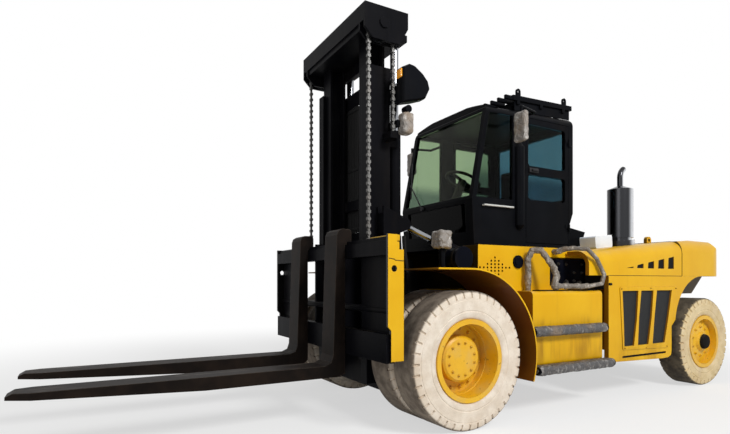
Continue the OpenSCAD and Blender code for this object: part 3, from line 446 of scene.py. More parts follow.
# %% Glass, plastic and wrapping
def tinted_glass(s):
    "Green in front and at the sides, blue at the rear, and blacked out below the sill."
    # Smudges that also carry a faint teal tint, which is a painted reflection.
    smear_and_painted_reflection = s.noise(5, 5).ramp(0.45, 0.8)
    across = s.facing().along(1)
    height = s.place().along(2)
    side = (across * across).ramp(0.3, 0.7)
    foot = 1.0 - height.ramp(1.97, 2.01)
    low = side * (1.0 - height.ramp(2.2, 2.36))
    rear = 1.0 - s.place().along(0).ramp(-1.0, -0.9)
    ends = rear.between((0.76, 0.82, 0.62, 1.0), (0.1, 0.24, 0.42, 1.0))
    tint = side.between(ends, low.between((0.3, 0.4, 0.3, 1.0), (0.09, 0.14, 0.12, 1.0)))
    tint = (smear_and_painted_reflection * 0.12).between(tint, (0.3, 0.38, 0.38, 1.0))
    return {"Base Color": foot.between(tint, rgb(6, 6, 7)), "Roughness": 0.02 + smear_and_painted_reflection * 0.03,
            "Transmission Weight": 1.0, "IOR": 1.12, "Specular IOR Level": 0.3}


def moulded(tone, rough, grain_size=160.0):
    def recipe(s):
        grain = s.noise(grain_size, 3)
        dust = s.up().ramp(0.3, 1.0) * s.noise(8, 5).ramp(0.45, 0.75) * 0.25
        colour = s.noise(3, 4).ramp(0.3, 0.7).between(tone, lighter(tone, 1.25))
        return {"Base Color": dust.between(colour, rgb(150, 140, 124)),
                "Roughness": rough + grain * 0.12 + dust * 0.3,
                "Normal": s.bump(grain, 0.0006, 0.35), "Specular IOR Level": 0.2}
    return recipe


def film_wrap(s, dull=rgb(138, 132, 126), bright=rgb(224, 220, 214)):
    crease = s.noise(24, 6, 0.7, stretch=(1, 1, 0.5))
    fold = s.node("ShaderNodeTexVoronoi", {"feature": "DISTANCE_TO_EDGE"},
                  {"Vector": s.place(), "Scale": 16.0})
    # The brighter colour on the creases is a painted highlight, and the same mask makes them glossier.
    gloss_and_painted_highlight = crease.ramp(0.5, 0.72)
    colour = gloss_and_painted_highlight.between(dull, bright)
    colour = (s.noise(5, 5).ramp(0.5, 0.7) * 0.6).between(colour, rgb(140, 120, 98))
    return {"Base Color": colour, "Roughness": 0.5 - gloss_and_painted_highlight * 0.2,
            "Normal": s.bump(crease + fold.ramp(0.0, 0.12) * 0.35, 0.012, 0.8)}


HANDLE_Z = 1.7


def rail_cover(s):
    "Foam on the rails of the steps, and bare white metal on the handle of the cab."
    look = film_wrap(s, rgb(112, 104, 95), rgb(192, 183, 170))
    handle = s.place().along(2).ramp(HANDLE_Z - 0.01, HANDLE_Z + 0.01)
    look["Base Color"] = handle.between(look["Base Color"], rgb(206, 206, 202))
    return look


def perforated(s):
    p = s.place()
    dots = (p.along(0) * 380.0).sine() * (p.along(2) * 380.0).sine()
    hole = dots.ramp(0.1, 0.5)
    return {"Base Color": hole.between(rgb(44, 45, 46), rgb(10, 10, 10)), "Roughness": 0.55 + hole * 0.2,
            "Normal": s.bump(1.0 - hole, 0.003, 0.6), "Specular IOR Level": 0.15}


def woven(s):
    p = s.place()
    weave = (p.along(0) * 1900.0 + p.along(2) * 1900.0).sine() * (p.along(1) * 1900.0).sine()
    wear = s.noise(6, 5).ramp(0.4, 0.75)
    return {"Base Color": wear.between(rgb(20, 20, 23), rgb(40, 40, 44)), "Roughness": 0.85 + weave * 0.08,
            "Normal": s.bump(weave, 0.001, 0.5), "Specular IOR Level": 0.2, "Sheen Weight": 0.15}


def lens(tone, glow):
    def recipe(s):
        ribs = (s.place().along(2) * 700.0).sine() * 0.5 + 0.5
        return {"Base Color": ribs.between(tone, lighter(tone, 1.4)), "Roughness": 0.12 + ribs * 0.08,
                "Normal": s.bump(ribs, 0.002, 0.5), "Emission Color": tone, "Emission Strength": glow}
    return recipe


finish("tinted_glass", tinted_glass)
finish("black_plastic", moulded(rgb(24, 24, 26), 0.45))
finish("seal_rubber", moulded(rgb(18, 18, 18), 0.7, 90))
finish("header_plastic", moulded(rgb(214, 220, 228), 0.42))
finish("film_wrap", film_wrap)
finish("step_wrap", lambda s: film_wrap(s, rgb(76, 74, 74), rgb(164, 160, 156)))
finish("rail_foam", rail_cover)
finish("grille_mesh", perforated)
finish("seat_cloth", woven)
# Near-black fill for openings and shaded corners: painted shade.
finish("painted_shade_fill", moulded(rgb(7, 7, 7), 0.8))
finish("amber_lens", lens(rgb(232, 150, 40), 0.15))
print("finishes so far:", ", ".join(finishes))

# %% [markdown]
# ## Dressing the solids
# Each solid keeps its mesh and only swaps its material. The table names the solids of each finish.

# %% Dress the solids
DRESS = {
    "yellow_paint": ["side_panels", "hood_sides", "hood_lid"],
    "weight_paint": ["counterweight"],
    "deck_paint": ["deck"],
    "tank_paint": ["side_tanks"],
    "fender_paint": ["fenders"],
    "plate_paint": ["carriage_ends"],
    "rim_paint": ["drive_rims_left", "drive_rims_right", "steer_rim_left", "steer_rim_right"],
    "mast_paint": ["mast_outer", "mast_inner", "carriage", "lift_barrels", "tilt_barrels"],
    "cab_paint": ["cab_shell", "door_left", "door_right", "roof_guard", "mast_lamps", "mirrors", "lamps",
                  "work_lamps", "steps"],
    "casting_paint": ["frame", "drive_axle", "steer_axle", "knuckle_left", "knuckle_right", "engine"],
    "tank_enamel": ["air_tank", "battery_boxes"],
    "fork_steel": ["fork_left", "fork_right"],
    "chrome_rod": ["lift_rods", "tilt_rods", "steer_rod"],
    "muffler_steel": ["muffler"],
    "chain_steel": ["chains_front", "chains_rear"],
    "sheave_steel": ["sheaves"],
    "drive_rubber": ["drive_tyres_left", "drive_tyres_right"],
    "steer_rubber": ["steer_tyre_left", "steer_tyre_right"],
    "tinted_glass": ["cab_windows", "door_glass_left", "door_glass_right"],
    "rail_foam": ["grab_rails"],
    "grille_mesh": ["grilles"],
    "header_plastic": ["header_tank"],
    "black_plastic": ["seat", "controls"],
}
for look, names in DRESS.items():
    for name in names:
        slots = nodes[name].data.materials
        slots.clear()
        slots.append(finishes[look])
dressed = {n for names in DRESS.values() for n in names}
print("dressed", len(dressed), "solids; plain:", sorted(set(nodes) - dressed))

# %% [markdown]
# ## Making pieces
# A new piece starts as a bmesh. `add_piece` turns it into an object at the origin, smooths what is
# round and keeps hard edges hard, and hangs it on the body that carries it.

# %% Helpers for pieces
def add_piece(name, bm, look, body, stands_for=(), smooth=35):
    mesh = bpy.data.meshes.new(name)
    bm.to_mesh(mesh)
    bm.free()
    mesh.materials.append(finishes[look])
    if smooth:
        for face in mesh.polygons:
            face.use_smooth = True
        mesh.set_sharp_from_angle(angle=math.radians(smooth))
    piece = bpy.data.objects.new(name, mesh)
    bpy.context.scene.collection.objects.link(piece)
    if body:
        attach(piece, body)
    if stands_for:
        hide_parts(*stands_for)
    return piece


def block(bm, low, high, edge=0.0, segments=2):
    "A box between two corners, with rounded edges."
    low, high = Vector(low), Vector(high)
    made = bmesh.ops.create_cube(bm, size=1.0)["verts"]
    bmesh.ops.scale(bm, vec=high - low, verts=made)
    bmesh.ops.translate(bm, vec=(low + high) / 2, verts=made)
    if edge:
        sides = list({e for v in made for e in v.link_edges})
        bmesh.ops.bevel(bm, geom=sides, offset=edge, segments=segments, profile=0.5,
                        affect="EDGES", material=-1)
    return bm


def rod(bm, a, b, radius, sides=12, tip=None):
    "A round or six-sided bar between two points."
    a, b = Vector(a), Vector(b)
    turn = (b - a).to_track_quat("Z", "Y").to_matrix().to_4x4()
    bmesh.ops.create_cone(bm, cap_ends=True, cap_tris=False, segments=sides, radius1=radius,
                          radius2=radius if tip is None else tip, depth=(b - a).length,
                          matrix=Matrix.Translation((a + b) / 2) @ turn)
    return bm


def wire(bm, points, radius, sides=6):
    "A thin round bar along some points, which are given from the drive axle."
    for a, b in zip(points, points[1:]):
        rod(bm, spot(*a), spot(*b), radius, sides)
    return bm


def turned(profile, centre, steps):
    "A profile of radius and Y, spun about a wheel's axle."
    bm = bmesh.new()
    points = [bm.verts.new((r, y, 0.0)) for r, y in profile]
    lines = [bm.edges.new(pair) for pair in zip(points, points[1:])]
    bmesh.ops.spin(bm, geom=points + lines, cent=(0, 0, 0), axis=(0, 1, 0), angle=math.tau,
                   steps=steps, use_merge=True)
    bmesh.ops.remove_doubles(bm, verts=bm.verts, dist=1e-5)
    bmesh.ops.recalc_face_normals(bm, faces=bm.faces)
    bmesh.ops.translate(bm, vec=(centre[0], 0.0, centre[2]), verts=bm.verts)
    return bm


def both_sides(bm):
    "The shape together with its mirror image on the right side."
    bmesh.ops.mirror(bm, geom=bm.verts[:] + bm.edges[:] + bm.faces[:], axis="Y", merge_dist=0.0)
    bmesh.ops.recalc_face_normals(bm, faces=bm.faces)
    return bm


print("helpers ready")

# %% [markdown]
# ## Treaded tyres
# The plain tyre solids become tyres with moulded rings on the wall and a tread. The profile is
# spun in many steps, and along the shoulders one step in four is pressed in with an inset, which
# gives the notches that show in the photograph. A boolean cut would do the same and take far longer.

# %% Treaded tyres
LUG_STEPS, SHOULDER, NOTCH_DEPTH = 4, 0.05, 0.014


def treaded_tyre(middle, half, radius, bead, centre, lugs):
    "A tyre about an axle, given by its middle in Y, half its width, its outer radius and its bead's radius."
    wall = [(bead, half - 0.030), (bead + 0.016, half - 0.030), (bead + 0.028, half - 0.014),
            (bead + 0.05, half - 0.004), (bead + 0.075, half), (bead + 0.080, half - 0.004),
            (bead + 0.086, half - 0.004), (bead + 0.091, half), (radius - 0.075, half),
            (radius - 0.070, half - 0.004), (radius - 0.058, half - 0.002), (radius - 0.03, half - 0.006),
            (radius - 0.010, half - 0.013), (radius, half - 0.030), (radius, half - 0.095), (radius, 0.02)]
    profile = [(r, middle + y) for r, y in wall] + [(r, middle - y) for r, y in reversed(wall)]
    bm = turned(profile + [profile[0]], centre, steps=lugs * LUG_STEPS)
    notches = []
    for face in bm.faces:
        c = face.calc_center_median()
        x, y, z = c.x - centre[0], abs(c.y - middle), c.z - centre[2]
        reach, turn = math.hypot(x, z), (math.atan2(z, x) / math.tau * lugs) % 1.0
        if turn < 1 / LUG_STEPS and reach > radius - SHOULDER and y > half - SHOULDER:
            notches.append(face)
    bmesh.ops.inset_region(bm, faces=notches, thickness=0.004, depth=-NOTCH_DEPTH, use_even_offset=True)
    return bm


for side, flip in SIDES:
    for row, middle in (("outer", 1.10), ("inner", 0.75)):
        tyre = treaded_tyre(flip * middle, 0.15, DRIVE_RADIUS, 0.3155, DRIVE_AXLE, lugs=40)
        add_piece(f"drive_tyre_{row}_{side}", tyre, "drive_rubber", f"wheel_front_{side}",
                  [f"drive_tyres_{side}"])
    tyre = treaded_tyre(flip * 1.045, 0.145, STEER_RADIUS, 0.2805, STEER_AXLE, lugs=36)
    piece = add_piece(f"steer_tread_{side}", tyre, "steer_rubber", f"wheel_rear_{side}",
                      [f"steer_tyre_{side}"])
print("six treaded tyres, the last with", len(piece.data.polygons), "faces")

# %% [markdown]
# ## Wheel nuts and hubs
# Nuts hold each rim to its hub. A six-sided cone frustum on a washer reads as a nut at this scale.

# %% Wheel nuts and hubs
def nut(bm, base, out, size):
    "A washer, a nut on it and the end of the bolt, one behind the other."
    seat, top, tip = [Vector(base) + Vector(out) * size * reach for reach in (0.35, 1.5, 2.0)]
    rod(bm, base, seat, size * 1.35, 12)
    rod(bm, seat, top, size, 6, size * 0.86)
    rod(bm, top, tip, size * 0.5, 8)


def nut_ring(centre, y, flip, ring, count, size):
    bm = bmesh.new()
    for i in range(count):
        a = (i + 0.5) / count * math.tau
        base = (centre[0] + math.cos(a) * ring, flip * y, centre[2] + math.sin(a) * ring)
        nut(bm, base, (0, flip, 0), size)
    return bm


# Piece, body, slot, axle, Y of the seat, radius of the ring, number of nuts, size of a nut
NUT_RINGS = (
    ("drive_nuts", "wheel_front", "drive_rims", DRIVE_AXLE, 1.043, 0.245, 16, 0.013),
    ("drive_hub_bolts", "wheel_front", "drive_rims", DRIVE_AXLE, 1.135, 0.135, 12, 0.009),
    ("steer_nuts", "wheel_rear", "steer_rim", STEER_AXLE, 1.125, 0.165, 10, 0.013),
)
# Radius and Y of the steer hub's cap
HUB_CAP = ((0.0, 1.214), (0.05, 1.212), (0.074, 1.203), (0.084, 1.185), (0.086, 1.165), (0.0, 1.165))
for side, flip in SIDES:
    for name, body, slot, axle, y, ring, count, size in NUT_RINGS:
        nuts = nut_ring(axle, y, flip, ring, count, size)
        add_piece(f"{name}_{side}", nuts, "rim_paint", f"{body}_{side}")
    cap = turned([(r, flip * y) for r, y in HUB_CAP], STEER_AXLE, 40)
    add_piece(f"steer_hub_cap_{side}", cap, "casting_paint", f"wheel_rear_{side}")
print("nuts and hub caps on four wheels")

# %% [markdown]
# ## Leaf chains
# A mast is hauled by leaf chain: thin steel plates laced side by side on pins. Each pitch is a
# few flat plates and a pin. The strand at the front shortens as the carriage climbs, and the one
# at the rear runs from the outer mast to the sheave; both strands are built in place and hang on
# no body. The links on the sheave ride on the inner mast.

# %% Leaf chains
CHAIN_Y, CHAIN_WIDTH, CHAIN_PITCH = 0.6075, 0.036, 0.030
SHEAVE_Z, SHEAVE_RADIUS, SHEAVE_LINKS = 3.40, 0.122, 14
SHEAVE = spot(0.452, 0, SHEAVE_Z)
CARRIAGE_END, MAST_END = 1.50, 2.50


def chain_link(bm, middle, up, pitch, odd):
    "One pitch of plates: every second pitch is laced in between its neighbours."
    across = Vector((0, 1, 0))
    turn = Matrix((up.cross(across), across, up)).transposed().to_4x4()
    if odd:
        count, plate = 4, (0.030, CHAIN_WIDTH / 6, pitch * 0.9)
    else:
        count, plate = 3, (0.016, CHAIN_WIDTH / 9, pitch * 1.2)
    for i in range(count):
        y = (i - (count - 1) / 2) * CHAIN_WIDTH / 4.2
        made = bmesh.ops.create_cube(bm, size=1.0)["verts"]
        bmesh.ops.scale(bm, vec=plate, verts=made)
        edges = {e for v in made for e in v.link_edges}
        ends = [e for e in edges if abs((e.verts[0].co - e.verts[1].co).y) > 1e-6]
        fresh = bmesh.ops.bevel(bm, geom=ends, offset=0.005, segments=2, profile=0.5,
                                affect="EDGES", material=-1)
        verts = {v for v in made if v.is_valid} | set(fresh["verts"])
        bmesh.ops.transform(bm, matrix=Matrix.Translation(middle + across * y) @ turn, verts=list(verts))
    pin, half = middle + up * pitch / 2, across * CHAIN_WIDTH * 0.52
    rod(bm, pin - half, pin + half, 0.006, 8)


def strand(x, y, low):
    "Links from a low end up to the sheave's height."
    bm = bmesh.new()
    count = round((SHEAVE_Z - low) / CHAIN_PITCH)
    step = (SHEAVE_Z - low) / count
    for i in range(count):
        chain_link(bm, Vector((x, y, low + (i + 0.5) * step)), Vector((0, 0, 1)), step, i % 2)
    return bm


for side, flip in SIDES:
    y = flip * CHAIN_Y
    x = SHEAVE.x + SHEAVE_RADIUS
    front = add_piece(f"chain_front_{side}", strand(x, y, CARRIAGE_END), "chain_steel", None,
                      ["chains_front"])
    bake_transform(front)
    x = SHEAVE.x - SHEAVE_RADIUS
    rear = add_piece(f"chain_rear_{side}", strand(x, y, MAST_END), "chain_steel", None,
                     ["chains_rear"])
    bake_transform(rear)
    wrap = bmesh.new()
    for i in range(SHEAVE_LINKS):
        a = (i + 0.5) / SHEAVE_LINKS * math.pi
        out = Vector((math.cos(a), 0, math.sin(a)))
        middle = Vector((SHEAVE.x, y, SHEAVE.z)) + out * SHEAVE_RADIUS
        chain_link(wrap, middle, Vector((-out.z, 0, out.x)), SHEAVE_RADIUS * math.pi / SHEAVE_LINKS, i % 2)
    add_piece(f"chain_wrap_{side}", wrap, "chain_steel", "mast_inner", ["chains_front"])
print("chain strands with", len(front.data.polygons), "faces each")

# %% [markdown]
# ## Film wound round lamps, mirrors, rails and steps
# A new machine is shipped with foam and film wound round whatever could be scratched. The skin is
# never flat, and its dents show in the outline, so bump alone would not do. A plain form gets an
# even net of faces from a voxel remesh, and noise then pushes every point along its normal.

# %% Crumpled film
def skinned(bm, voxel):
    "The same closed form with an even net of faces."
    mesh = bpy.data.meshes.new("rough")
    bm.to_mesh(mesh)
    bm.free()
    rough = bpy.data.objects.new("rough", mesh)
    bpy.context.scene.collection.objects.link(rough)
    net = rough.modifiers.new("net", "REMESH")
    net.mode, net.voxel_size = "VOXEL", voxel
    even = bmesh.new()
    even.from_mesh(rough.evaluated_get(bpy.context.evaluated_depsgraph_get()).to_mesh())
    bpy.data.objects.remove(rough)
    bpy.data.meshes.remove(mesh)
    even.normal_update()
    return even


def crumpled(bm, voxel, depth, scale=24.0):
    "A form under crumpled film."
    net = skinned(bm, voxel)
    dents = [noise.noise(v.co * scale) + 0.6 * noise.noise(v.co * scale * 2.6) for v in net.verts]
    for v, move in zip(net.verts, [v.normal * depth * dent for v, dent in zip(net.verts, dents)]):
        v.co += move
    return net


# Low corner, high corner, rounded edge, voxel, dent, finish, node underneath, body
WRAPS = {
    "mirror_film": ((-0.950, 0.822, 2.512), (-0.892, 0.978, 2.800), 0.028, 0.006, 0.006,
                    "film_wrap", "mirrors", "chassis"),
    "fender_lamp_film": ((-0.036, 0.824, 1.474), (0.084, 0.976, 1.628), 0.022, 0.007, 0.007,
                         "film_wrap", "lamps", "chassis"),
    "work_lamp_film": ((0.176, 0.602, 2.478), (0.280, 0.716, 2.664), 0.022, 0.006, 0.006,
                       "film_wrap", "work_lamps", "mast_outer"),
    "upper_step_film": ((-1.754, 1.148, 0.704), (-0.746, 1.240, 0.794), 0.036, 0.009, 0.0055,
                        "step_wrap", "steps", "chassis"),
    "lower_step_film": ((-1.829, 1.148, 0.362), (-0.776, 1.260, 0.450), 0.036, 0.009, 0.0055,
                        "step_wrap", "steps", "chassis"),
}
for name, (low, high, edge, voxel, dent, look, node, body) in WRAPS.items():
    film = block(bmesh.new(), spot(*low), spot(*high), edge, 3)
    hides = [node] if node in ("mirrors", "lamps") else []
    add_piece(name, both_sides(crumpled(film, voxel, dent)), look, body, hides, smooth=70)

ARM_ROOT, ARM_ELBOW, ARM_END = (-1.17, 0.60, 2.85), (-1.17, 0.84, 2.85), (-0.925, 0.90, 2.85)
arms = wire(bmesh.new(), (ARM_ROOT, ARM_ELBOW, ARM_END), 0.014, 14)
wire(arms, ((-0.925, 0.90, 2.857), (-0.925, 0.90, 2.78)), 0.014, 14)
for corner in (ARM_ELBOW, ARM_END):
    bmesh.ops.create_uvsphere(arms, u_segments=14, v_segments=8, radius=0.0145,
                              matrix=Matrix.Translation(spot(*corner)))
add_piece("mirror_arms", both_sides(arms), "cab_paint", "chassis", ["mirrors"])
post = block(bmesh.new(), spot(0.0, 0.88, 1.302), spot(0.04, 0.92, 1.482), 0.004)
block(post, spot(-0.02, 0.85, 1.302), spot(0.06, 0.95, 1.312), 0.003)
add_piece("lamp_posts", both_sides(post), "cab_paint", "chassis", ["lamps"])

FOAM_THICK, FOAM_DENT = 0.009, 0.009
rails = bmesh.new()
rails.from_mesh(nodes["grab_rails"].data)
bmesh.ops.remove_doubles(rails, verts=rails.verts, dist=1e-5)
bmesh.ops.delete(rails, geom=[v for v in rails.verts if v.co.z > HANDLE_Z], context="VERTS")
rails.normal_update()
for v, out in [(v, v.normal.copy()) for v in rails.verts]:
    v.co += out * FOAM_THICK
rails = crumpled(rails, 0.008, FOAM_DENT)
foam = add_piece("rail_foam", rails, "rail_foam", "chassis", smooth=70)
print("five pairs of film covers, and foam on the rails with", len(foam.data.polygons), "faces")

# %% [markdown]
# ## The driver's seat
# Foam under stretched cloth swells between its seams. The pads start as rounded blocks, and cloth
# simulation blows them up a little with air pressure, then the sewn channels are pressed in. A
# sculpted block would miss the way the sides pull in between the corners.

# %% The driver's seat
def plumped(bm, cap):
    "A pad blown up by cloth simulation, no point moved further than the cap."
    mesh = bpy.data.meshes.new("pad")
    bm.to_mesh(mesh)
    pad = bpy.data.objects.new("pad", mesh)
    bpy.context.scene.collection.objects.link(pad)
    cloth = pad.modifiers.new("air", "CLOTH").settings
    cloth.use_pressure = True
    cloth.uniform_pressure_force = 4.0
    cloth.effector_weights.gravity = 0.0
    for step in range(1, 21):
        bpy.context.scene.frame_set(step)
    blown = pad.evaluated_get(bpy.context.evaluated_depsgraph_get()).to_mesh()
    for v, target in zip(bm.verts, [p.co.copy() for p in blown.vertices]):
        move = target - v.co
        v.co += move * min(1.0, cap / max(move.length, 1e-9))
    bpy.data.objects.remove(pad)
    bpy.data.meshes.remove(mesh)
    bpy.context.scene.frame_set(1)
    bm.normal_update()
    return bm


# Low corner, high corner
PADS = {
    "seat_cushion": ((-1.735, -0.225, 1.805), (-1.225, 0.225, 1.900)),
    "seat_back": ((-1.800, -0.215, 1.945), (-1.720, 0.215, 2.515)),
}
SEAMS_Y, SEAM_DEPTH, SEAM_WIDTH = (-0.12, 0.12), 0.007, 0.007
for name, (low, high) in PADS.items():
    pad = skinned(block(bmesh.new(), spot(*low), spot(*high), 0.034, 3), 0.01)
    pad = plumped(pad, 0.024)
    for v, out in [(v, v.normal.copy()) for v in pad.verts]:
        v.co -= out * sum(SEAM_DEPTH * math.exp(-((v.co.y - seam) / SEAM_WIDTH) ** 2) for seam in SEAMS_Y)
    piece = add_piece(name, pad, "seat_cloth", "chassis", ["seat"], smooth=80)
    soft = piece.modifiers.new("soft", "SUBSURF")
    soft.levels = soft.render_levels = 1
base = block(bmesh.new(), spot(-1.70, -0.17, 1.60), spot(-1.25, 0.17, 1.70), 0.012)
block(base, spot(-1.66, -0.14, 1.70), spot(-1.29, 0.14, 1.795), 0.02)
add_piece("seat_base", base, "black_plastic", "chassis", ["seat"])
print("seat of two pads on a suspension base")

# %% [markdown]
# ## Grilles, vents and seams
# The slanted openings of the side panels are closed with dark mesh just under the skin. Behind the
# hood's vents, in the slot below the louvres and at the side panel's front end under the hood's wing
# sit near-black plates: painted shade for the dark inside. Where two panels meet, a thin dark bead
# marks the joint; along the hood's lower edge it also stands for the step's shadow, painted. Flat
# outlines drawn out by an extrude make the meshes, and fine rods along the joint make the bead.

# %% Grilles, vents and seams
PANEL_FRONT, SKIN_Y = -1.895, 1.130
# Distances behind the panel's front edge at three heights, front and rear side in turn
LOUVRE_HEIGHTS = (1.096, 0.808, 0.526)
LOUVRES = [((0.216, 0.484), (0.235, 0.458), (0.247, 0.407)),
           ((0.535, 0.752), (0.496, 0.717), (0.475, 0.658)),
           ((0.816, 1.096), (0.770, 1.030), (0.735, 0.955))]
# Distance behind the panel's front edge, height at the front and at the rear side
VENTS = [(0.297, 0.002, 0.015), (0.471, 0.032, 0.050), (0.660, 0.062, 0.080),
         (0.847, 0.090, 0.108), (1.034, 0.118, 0.136)]
VENT_FOOT, VENT_LONG, FILL_THICK = 1.332, 0.112, 0.004
JOINT_X, SEAM_Z, LID_EDGE, LID_Z = -3.2, 1.253, 0.53, 1.651
CORNER_Y, CORNER_Z, CORNER_RADIUS = 0.99, 1.51, 0.141


def flat_fill(bm, outline, y, thick):
    "A plate with an outline in X and Z, counted from the panel's front edge, drawn out along Y."
    face = bm.faces.new([bm.verts.new(spot(PANEL_FRONT - x, y, z)) for x, z in outline])
    grown = bmesh.ops.extrude_face_region(bm, geom=[face])["geom"]
    bmesh.ops.translate(bm, vec=(0, thick, 0), verts=[g for g in grown if isinstance(g, bmesh.types.BMVert)])


meshes, dark, seams = bmesh.new(), bmesh.new(), bmesh.new()
for sides in LOUVRES:
    front = [(pair[0], z) for pair, z in zip(sides, LOUVRE_HEIGHTS)]
    rear = [(pair[1], z) for pair, z in zip(sides, LOUVRE_HEIGHTS)]
    flat_fill(meshes, front + rear[::-1], SKIN_Y - 0.016, FILL_THICK)
# Near-black plates behind the vents: painted shade.
for place, low, high in VENTS:
    vent = [(place, VENT_FOOT), (place + VENT_LONG, VENT_FOOT),
            (place + VENT_LONG, VENT_FOOT + high), (place + 0.008, VENT_FOOT + low)]
    flat_fill(dark, vent, SKIN_Y - 0.012, FILL_THICK)
# The slot below the louvres, filled near-black as painted shade.
flat_fill(dark, [(0.222, 0.408), (0.988, 0.408), (0.988, 0.430), (0.222, 0.430)], SKIN_Y - 0.014, FILL_THICK)
# A near-black block at the side panel's front end under the hood's wing: painted shade.
block(dark, spot(-1.905, 0.862, 1.115), spot(-1.888, 1.078, 1.252))
angles = [math.radians(90 - 15 * i) for i in range(7)]
corner = [(JOINT_X, CORNER_Y + CORNER_RADIUS * math.sin(a), CORNER_Z + CORNER_RADIUS * math.cos(a))
          for a in angles]
wire(seams, [(JOINT_X, SKIN_Y + 0.001, SEAM_Z)] + corner + [(JOINT_X, LID_EDGE, LID_Z)], 0.0035)
# The line along the hood's lower edge is a dark joint with the step's shadow painted into it.
wire(seams, [(-1.90, SKIN_Y, SEAM_Z), (JOINT_X, SKIN_Y, SEAM_Z)], 0.0025)
add_piece("louvre_meshes", both_sides(meshes), "grille_mesh", "chassis", smooth=0)
add_piece("painted_shade_openings", both_sides(dark), "painted_shade_fill", "chassis", smooth=0)
END_PLATE_SEAM = [(0.738, 1.190, 1.366), (0.688, 1.190, 1.359), (0.684, 1.190, 1.352), (0.607, 1.190, 1.347)]
carriage_seam = wire(bmesh.new(), END_PLATE_SEAM, 0.003)
add_piece("plate_seams", both_sides(carriage_seam), "seal_rubber", "carriage")
add_piece("panel_seams", both_sides(seams), "seal_rubber", "chassis")
print("six grille meshes, ten vents and the panel seams")

# %% [markdown]
# ## Small hardware
# Fittings on the valve panel, latches, bolts, straps, a wiper and door levers are what the eye
# expects on a working machine. Each is a few rods and rounded blocks, joined into one piece for
# each body and finish, so that a door still takes its own lever along when it opens.

# %% Small hardware
fittings = bmesh.new()
for column in range(4):
    for row in range(3):
        if (column + row) % 3:
            nut(fittings, spot(-1.88 + 0.12 * column, 0.825, 1.20 + 0.085 * row), (0, 1, 0), 0.012)
for x in (-1.82, -1.62, -1.46):
    rod(fittings, spot(x, 0.825, 1.185), spot(x, 0.862, 1.185), 0.017, 6)
    rod(fittings, spot(x, 0.855, 1.185), spot(x, 0.855, 1.14), 0.011, 10)
add_piece("valve_fittings", both_sides(fittings), "chain_steel", "chassis")

bolts = bmesh.new()
for x, z in ((0.20, 1.118), (0.70, 1.122), (1.17, 1.118), (0.25, 0.508), (0.62, 0.492), (1.0, 0.485)):
    nut(bolts, spot(PANEL_FRONT - x, SKIN_Y + 0.006, z), (0, 1, 0), 0.006)
add_piece("panel_bolts", both_sides(bolts), "yellow_paint", "chassis")

latch = block(bmesh.new(), spot(-1.945, SKIN_Y - 0.002, 1.155), spot(-1.895, SKIN_Y + 0.007, 1.178), 0.003)
add_piece("panel_latches", both_sides(latch), "casting_paint", "chassis")
for count, y in enumerate((0.69, 0.80), 1):
    ring = [(0.104, y), (0.1085, y), (0.1085, y + 0.022), (0.104, y + 0.022), (0.104, y)]
    strap = turned(ring, spot(-0.26, 0, 1.400), 48)
    add_piece(f"tank_strap_{count}", both_sides(strap), "casting_paint", "chassis")

HOOK = [(-4.13, 0.99, 1.40), (-4.175, 1.0, 1.40), (-4.185, 1.0, 1.425), (-4.165, 1.0, 1.44),
        (-4.15, 1.0, 1.43)]
hook = wire(bmesh.new(), HOOK, 0.007, 8)
add_piece("rope_hooks", both_sides(hook), "casting_paint", "chassis")

wiper = bmesh.new()
rod(wiper, spot(-0.585, -0.20, 1.985), spot(-0.560, -0.20, 1.990), 0.022, 12)
rod(wiper, spot(-0.562, -0.20, 1.990), spot(-0.625, -0.50, 2.300), 0.007, 8)
rod(wiper, spot(-0.590, -0.44, 2.130), spot(-0.672, -0.53, 2.560), 0.006, 8)
add_piece("wiper", wiper, "black_plastic", "chassis")

LEVER_Y, GRIP_Y = 0.608, 0.626
for side, flip in SIDES:
    lever = bmesh.new()
    y = flip * LEVER_Y
    block(lever, spot(-1.480, y - 0.010, 2.325), spot(-1.345, y + 0.010, 2.375), 0.006)
    y = flip * GRIP_Y
    block(lever, spot(-1.465, y - 0.008, 2.338), spot(-1.375, y + 0.008, 2.360), 0.006)
    add_piece(f"door_lever_{side}", lever, "black_plastic", f"door_{side}")

lens_pair = block(bmesh.new(), spot(0.296, 0.640, 2.955), spot(0.314, 0.712, 3.028), 0.006)
add_piece("shroud_lenses", both_sides(lens_pair), "amber_lens", "mast_outer")

skirt = bmesh.new()
flat_fill(skirt, [(-0.69, 2.963), (0.15, 2.990), (0.15, 3.094), (-0.69, 3.066)], 0.535, 0.008)
add_piece("guard_skirts", both_sides(skirt), "cab_paint", "chassis", smooth=0)

bars = bmesh.new()
for count in range(6):
    y = 0.040 + 0.101 * count
    block(bars, spot(-1.262, y - 0.014, 3.0605), spot(-1.066, y + 0.014, 3.1015), 0.004)
add_piece("guard_bar_tips", both_sides(bars), "cab_paint", "chassis")
print("fittings, bolts, straps, hooks, wiper, levers, lenses, skirts and guard bars")

# %% [markdown]
# ## Pipes on the mast
# Oil climbs the mast in rows of thin pipes clipped behind the cross plates, and hoses drop from the
# tilt lugs to the frame. Seen from the front they close the gaps between the rails with fine upright
# lines. Rods are enough for straight pipe, and a clip at each end shows what holds them.

